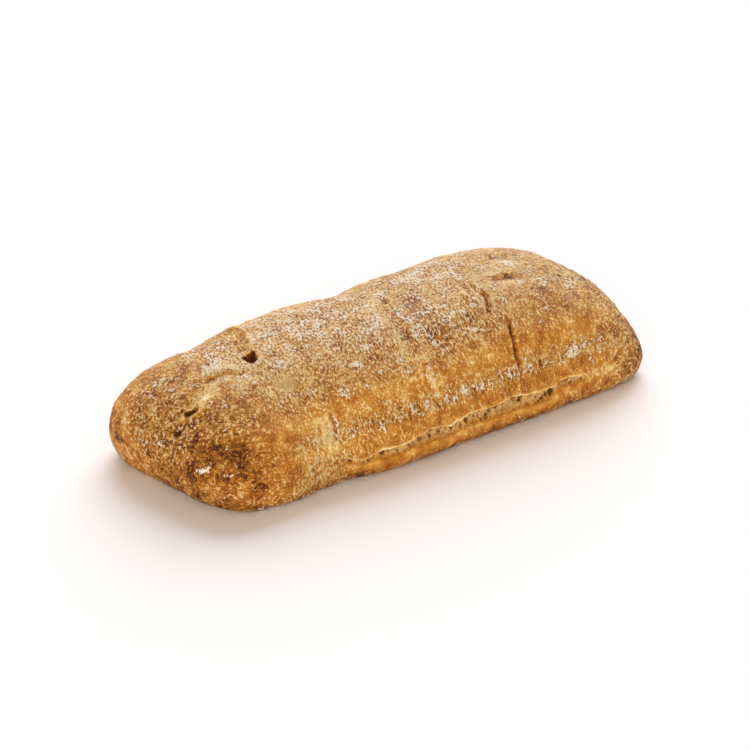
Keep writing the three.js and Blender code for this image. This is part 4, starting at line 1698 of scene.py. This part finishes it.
        unit, middle = self.mean_height
        marks = {
            "sleek": self.sleekness.at(skin),
            "fold": wrinkles * skin.stretched * (1 - skin.lips),
            "flour": self.dusting.at(skin),
            "browning_and_shade": self.browning_and_shade.at(skin),
            "height": fine / unit - middle,
            "stretched": skin.stretched,
            "window": skin.window,
            "over_crust": flow,
        }
        low, high = (np.array(corner) / MM for corner in cad_box)
        low[2] = self.free_below
        shaped = held_inside(form.recentred(shaped), (low, high), self.margin, self.give)
        piece = make_piece("crust", shaped, [quads, base], marks)
        piece.data.materials.append(self.finish.material())
        return piece

    def flow_map(self, along: Array, over: Array) -> Array:
        """Lays the skin out flat, drawn askew as the dough was.

        Args:
            along: Each point's share of the half length.
            over: Its millimetres over the crust.

        Returns:
            Millimetres along and over the skin, and a 0, for each point.
        """
        steps = np.linspace(-1, 1, self.flow_steps)
        crown = self.surface.form.crust(steps, np.full_like(steps, math.pi / 2))
        reached = np.concatenate([[0.0], np.cumsum(np.linalg.norm(np.diff(crown, axis=0), axis=1))])
        begins, ends = self.slant_over
        askew = self.slant * np.clip(over - begins, 0, ends - begins)
        return np.stack([np.interp(along, steps, reached) - askew, over, np.zeros(len(over))], -1)


# ---------------------------------------------------------------- the crumb in the tears


@dataclass
class TearCrumb:
    """The porous crumb that shows in one tear, set into the crust's groove."""

    tear: Tear
    surface: CrustSurface = field(default_factory=CrustSurface)
    finish: Finish = field(default_factory=OpenCrumb)
    cell: float = 0.3
    overlap: float = 1.35  # how far past the lips it runs, as a share of the gape
    more_overlap: float = 0.5
    spare_rows: int = 4
    thickness: float = 3.5  # below the tear's own depth
    floor: Span = (0.32, 0.2)  # its depth at the middle and how much deeper at the top, as shares of the tear's
    edge_depth: float = 0.7
    pore: float = 2.3
    pore_edge: Span = (0.62, 0.12)
    pore_depth: float = 0.7
    pore_shares: Span = (0.55, 0.3)  # of cells without a pore, and how many fewer at the top
    least_pore: float = 0.35
    fine_pore: float = 1.2
    fine_pore_edge: Span = (0.6, 0.2)
    fine_pores: float = 0.4  # the share of cells without one
    fine_pore_depth: float = 0.4
    rags: tuple[Uneven, ...] = (Uneven(1.7, 0.3, Draw.CRUMB_RAGS), Uneven(0.8, 0.15, Draw.SMALL_CRUMB_RAGS))
    cave_rags: float = 1.6
    cave_wall: Span = (0.4, -0.8)
    cave_shade: Span = (0.1, -0.6)
    # painted shade in a cave grows with its depth
    deep_cave: float = 2.4  # as deep as a cave must be to be quite dark
    least_shade: float = 0.15

    def lay(self) -> tuple[Array, Array, int, int]:
        """Spreads a grid along the tear.

        Returns:
            The knots' places along and over the loaf, how far up the gape each is from -1 to 1, and
            the grid's rows and columns.
        """
        path = np.array(self.tear.path)
        reached = np.concatenate([[0.0], np.cumsum(np.linalg.norm(np.diff(path, axis=0), axis=1))])
        columns = round(reached[-1] / self.cell)
        rows = round(max(self.tear.gapes) * self.overlap / self.cell) + self.spare_rows
        share, even = np.linspace(0, 1, columns + 1), np.linspace(0, 1, len(path))
        knots = np.interp(share * reached[-1], reached, even)
        middle = np.stack([np.interp(knots, even, path[:, n]) for n in (0, 1)], -1)
        half = self.surface.gape(self.tear, knots) * self.overlap + self.more_overlap
        t, r = (part.ravel() for part in np.meshgrid(np.arange(columns + 1), np.linspace(-1, 1, rows + 1)))
        lower = np.minimum(half, middle[:, 1] - 0.1)
        places = np.stack([middle[t, 0], middle[t, 1] + r * np.where(r < 0, lower[t], half[t])], -1)
        return places, r, rows, columns

    def build(self) -> bpy.types.Object:
        """Shapes the crumb as a closed slab.

        Returns:
            The piece.
        """
        surface, form = self.surface, self.surface.form
        places, r, rows, columns = self.lay()
        smooth_skin = form.spot(places)
        quads = grid_faces(rows, columns)
        outwards = vertex_normals(smooth_skin, quads)
        skin = smooth_skin + outwards * surface.broad_relief(smooth_skin)[:, None]

        seeds, own = nearest_seed(smooth_skin, self.pore, Draw.PORES)
        without, fewer = self.pore_shares
        pits = ramp(seeds, *self.pore_edge) * (own > without - fewer * r)
        pits = pits * (self.least_pore + (1 - self.least_pore) * own)
        seeds, own = nearest_seed(smooth_skin, self.fine_pore, Draw.SMALL_PORES)
        fine_pits = ramp(seeds, *self.fine_pore_edge) * (own > self.fine_pores)
        ragged = layered(smooth_skin, self.rags)
        edge = np.abs(r) ** 3
        depth = self.tear.depth * (self.floor[0] + self.floor[1] * r) + self.edge_depth * edge
        depth = depth + self.pore_depth * pits + self.fine_pore_depth * fine_pits - ragged
        painted_cave_shade = np.zeros(len(depth))
        for spot, radius, deep in self.tear.caves:
            reach = np.linalg.norm(smooth_skin - form.spot([spot])[0], axis=1) + self.cave_rags * ragged
            depth += deep * within(reach, radius, self.cave_wall)
            dark = min(1, self.least_shade + deep / self.deep_cave)
            painted_cave_shade = np.maximum(painted_cave_shade, within(reach, radius, self.cave_shade) * dark)
        top = skin - outwards * depth[:, None]
        bottom = skin - outwards * (self.tear.depth + self.thickness)

        border = grid_border(rows, columns)
        under = border + len(top)
        wall = np.stack([under, np.roll(under, -1), np.roll(border, -1), border], -1)
        faces = np.concatenate([quads, quads[:, ::-1] + len(top), wall])
        # painted shade: the crumb darkens in its pores and caves, and along its top under the upper lip
        pore = np.clip(0.5 * pits + 0.3 * fine_pits + 0.95 * painted_cave_shade + 0.25 * ramp(r, 0.75, 0.95), 0, 1.5)
        toasted = np.clip(0.25 + 0.5 * edge + 0.5 * ramp(r, 0.35, -0.6) + 0.3 * ragged, 0, 1)
        marks = {"pore": np.tile(pore, 2), "toasted": np.tile(toasted, 2)}
        name = f"{self.tear.name}_crumb"
        piece = make_piece(name, form.recentred(np.concatenate([top, bottom])), [faces], marks)
        piece.data.materials.append(self.finish.material())
        return piece


# ---------------------------------------------------------------- flour grains


@dataclass
class FlourGrains:
    """Clots of flour scattered over the crust, thickest where it is dusted most."""

    finish: Finish = field(default_factory=RawFlour)
    per_square_metre: float = 3.0e5
    least: float = 0.10
    most: float = 0.30
    flatness: float = 0.5
    least_stretch: tuple[float, float, float] = (0.7, 1.0, 0.7)
    most_stretch: tuple[float, float, float] = (1.1, 1.9, 1.2)
    dusted: Span = (0.12, 0.85)  # how much flour a place has where the clots begin, and where they are thickest
    clear_of_table: Span = (1.0, 2.0)  # the heights between which they set in
    seed: int = 7

    def tree(self) -> bpy.types.NodeTree:
        """Builds the scattering tree.

        Returns:
            The tree, with its sizes as named inputs.
        """
        tree = bpy.data.node_groups.new("scatter_flour", "GeometryNodeTree")
        face = tree.interface
        face.new_socket("Geometry", in_out="INPUT", socket_type="NodeSocketGeometry")
        for name in ("Density", "Least Radius", "Most Radius"):
            face.new_socket(name, in_out="INPUT", socket_type="NodeSocketFloat")
        face.new_socket("Seed", in_out="INPUT", socket_type="NodeSocketInt")
        face.new_socket("Finish", in_out="INPUT", socket_type="NodeSocketMaterial")
        face.new_socket("Geometry", in_out="OUTPUT", socket_type="NodeSocketGeometry")
        given = tree.nodes.new("NodeGroupInput").outputs
        flour = add_node(tree, "GeometryNodeInputNamedAttribute", Mode.NUMBERS, Name="flour").outputs[0]
        place = add_node(tree, "GeometryNodeInputPosition").outputs[0]
        above = add_node(tree, "ShaderNodeSeparateXYZ", Vector=place).outputs["Z"]
        begins, whole = self.clear_of_table
        clear = add_node(
            tree, "ShaderNodeMapRange", Value=above, From_Min=begins * MM, From_Max=whole * MM
        ).outputs["Result"]
        begins, whole = self.dusted
        thick = add_node(
            tree, "ShaderNodeMapRange", Mode.EASED, Value=flour, From_Min=begins, From_Max=whole
        ).outputs["Result"]
        thick = add_node(tree, "ShaderNodeMath", Mode.MULTIPLY, in_0=thick, in_1=clear).outputs[0]
        density = add_node(tree, "ShaderNodeMath", Mode.MULTIPLY, in_0=thick, in_1=given["Density"])
        points = add_node(
            tree, "GeometryNodeDistributePointsOnFaces", Mode.AT_RANDOM,
            Mesh=given["Geometry"], Density=density.outputs[0], Seed=given["Seed"],
        )
        ball = add_node(tree, "GeometryNodeMeshIcoSphere", Radius=1.0, Subdivisions=1).outputs["Mesh"]
        flat = add_node(tree, "GeometryNodeTransform", Geometry=ball, Scale=(1.0, 1.0, self.flatness)).outputs[0]
        size = add_node(
            tree, "FunctionNodeRandomValue", Mode.NUMBERS,
            in_2=given["Least Radius"], in_3=given["Most Radius"], Seed=given["Seed"],
        ).outputs[1]
        stretch = add_node(
            tree, "FunctionNodeRandomValue", Mode.VECTORS,
            in_0=self.least_stretch, in_1=self.most_stretch, Seed=given["Seed"],
        ).outputs[0]
        scale = add_node(tree, "ShaderNodeVectorMath", Mode.SCALE, Vector=stretch, Scale=size).outputs[0]
        lumps = add_node(
            tree, "GeometryNodeInstanceOnPoints",
            Points=points.outputs["Points"], Instance=flat, Rotation=points.outputs["Rotation"], Scale=scale,
        ).outputs[0]
        real = add_node(tree, "GeometryNodeRealizeInstances", Geometry=lumps).outputs[0]
        dressed = add_node(tree, "GeometryNodeSetMaterial", Geometry=real, Material=given["Finish"]).outputs[0]
        tree.links.new(dressed, tree.nodes.new("NodeGroupOutput").inputs["Geometry"])
        return tree

    def build(self, crust: bpy.types.Object) -> bpy.types.Object:
        """Scatters the grains over a crust and gives them as one plain mesh.

        Args:
            crust: The crust, with its flour marked on it.

        Returns:
            The piece.
        """
        carrier = bpy.data.objects.new("flour_carrier", crust.data)
        bpy.context.collection.objects.link(carrier)
        modifier = carrier.modifiers.new("scatter", "NODES")
        modifier.node_group = self.tree()
        values = {
            "Density": self.per_square_metre,
            "Least Radius": self.least * MM,
            "Most Radius": self.most * MM,
            "Seed": self.seed,
            "Finish": self.finish.material(),
        }
        for item in modifier.node_group.interface.items_tree:
            if item.in_out == "INPUT" and item.name in values:
                modifier[item.identifier] = values[item.name]
        depsgraph = bpy.context.evaluated_depsgraph_get()
        mesh = bpy.data.meshes.new_from_object(carrier.evaluated_get(depsgraph))
        bpy.data.objects.remove(carrier)
        mesh.name = "flour_grains"
        piece = bpy.data.objects.new("flour_grains", mesh)
        bpy.context.collection.objects.link(piece)
        return piece


# ---------------------------------------------------------------- the studio


@dataclass(frozen=True)
class SoftLamp:
    """A broad, far light: where it stands seen from the loaf, and how wide and strong it is."""

    name: str
    azimuth: float
    elevation: float
    spread: float
    strength: float
    colour: str


@dataclass(frozen=True)
class Studio:
    """A white table under soft light, and the camera at the photograph's viewpoint."""

    azimuth: float = -38.729
    elevation: float = 25.149
    distance: float = 1173.66
    lens: float = 126.8
    target: tuple[float, float, float] = (-12.203, -14.306, 25.88)
    floor_half: float = 6000.0
    sky: str = "#fff1e0"
    sky_strength: float = 0.4
    lamps: tuple[SoftLamp, ...] = (
        SoftLamp("back_light", 136.0, 33.0, 50.0, 3.42, "#f9faff"),
        SoftLamp("front_light", -44.0, 20.0, 50.0, 1.68, "#ffebd0"),
    )

    def towards(self, azimuth: float, elevation: float) -> Vector:
        """Gives the direction from the loaf to something at an azimuth and elevation in degrees."""
        a, e = math.radians(azimuth), math.radians(elevation)
        return Vector((math.sin(a) * math.cos(e), -math.cos(a) * math.cos(e), math.sin(e)))

    def floor(self) -> bpy.types.Object:
        """Lays the white table."""
        reach = self.floor_half
        corners = np.array([[-reach, -reach, 0], [reach, -reach, 0], [reach, reach, 0], [-reach, reach, 0]], float)
        table = make_piece("table", corners, [np.array([[0, 1, 2, 3]])], {})
        table.data.materials.append(TablePaper().material())
        return table

    def lights(self) -> None:
        """Hangs the lamps under a plain pale sky."""
        world = bpy.data.worlds.new("white_sky")
        world.use_nodes = True
        sky = world.node_tree.nodes["Background"]
        sky.inputs["Color"].default_value = linear(self.sky)
        sky.inputs["Strength"].default_value = self.sky_strength
        bpy.context.scene.world = world
        for lamp in self.lamps:
            light = bpy.data.lights.new(lamp.name, "SUN")
            light.energy = lamp.strength
            light.angle = math.radians(lamp.spread)
            light.color = linear(lamp.colour)[:3]
            stand = bpy.data.objects.new(lamp.name, light)
            stand.rotation_mode = "QUATERNION"
            stand.rotation_quaternion = self.towards(lamp.azimuth, lamp.elevation).to_track_quat("Z", "Y")
            bpy.context.collection.objects.link(stand)

    def camera(self) -> None:
        """Sets the camera where the photograph was taken from."""
        data = bpy.data.cameras.new("camera")
        data.lens = self.lens
        data.clip_start, data.clip_end = 0.05, 50.0
        camera = bpy.data.objects.new("camera", data)
        back = self.towards(self.azimuth, self.elevation)
        camera.location = (Vector(self.target) + back * self.distance) * MM
        camera.rotation_mode = "QUATERNION"
        camera.rotation_quaternion = (-back).to_track_quat("-Z", "Y")
        bpy.context.collection.objects.link(camera)
        bpy.context.scene.camera = camera


def report(piece: bpy.types.Object) -> None:
    """Logs a piece's size and its number of triangles."""
    triangles = sum(len(face.vertices) - 2 for face in piece.data.polygons)
    log.info("%s: %.0f x %.0f x %.0f mm, %d triangles", piece.name, *(piece.dimensions / MM), triangles)


def main() -> None:
    """Builds the loaf's pieces in order, dresses them and sets the studio."""
    logging.basicConfig(level=logging.INFO, format="%(name)s %(message)s")
    studio = Studio()
    studio.camera()
    studio.lights()
    studio.floor()
    bpy.context.scene.view_settings.view_transform = "Standard"

    crust = Crust().build()
    pieces = [crust, *(TearCrumb(tear).build() for tear in TEARS), FlourGrains().build(crust)]
    for piece in pieces:
        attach(piece, "root")
        report(piece)
    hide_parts("loaf")


if __name__ == "__main__":
    main()
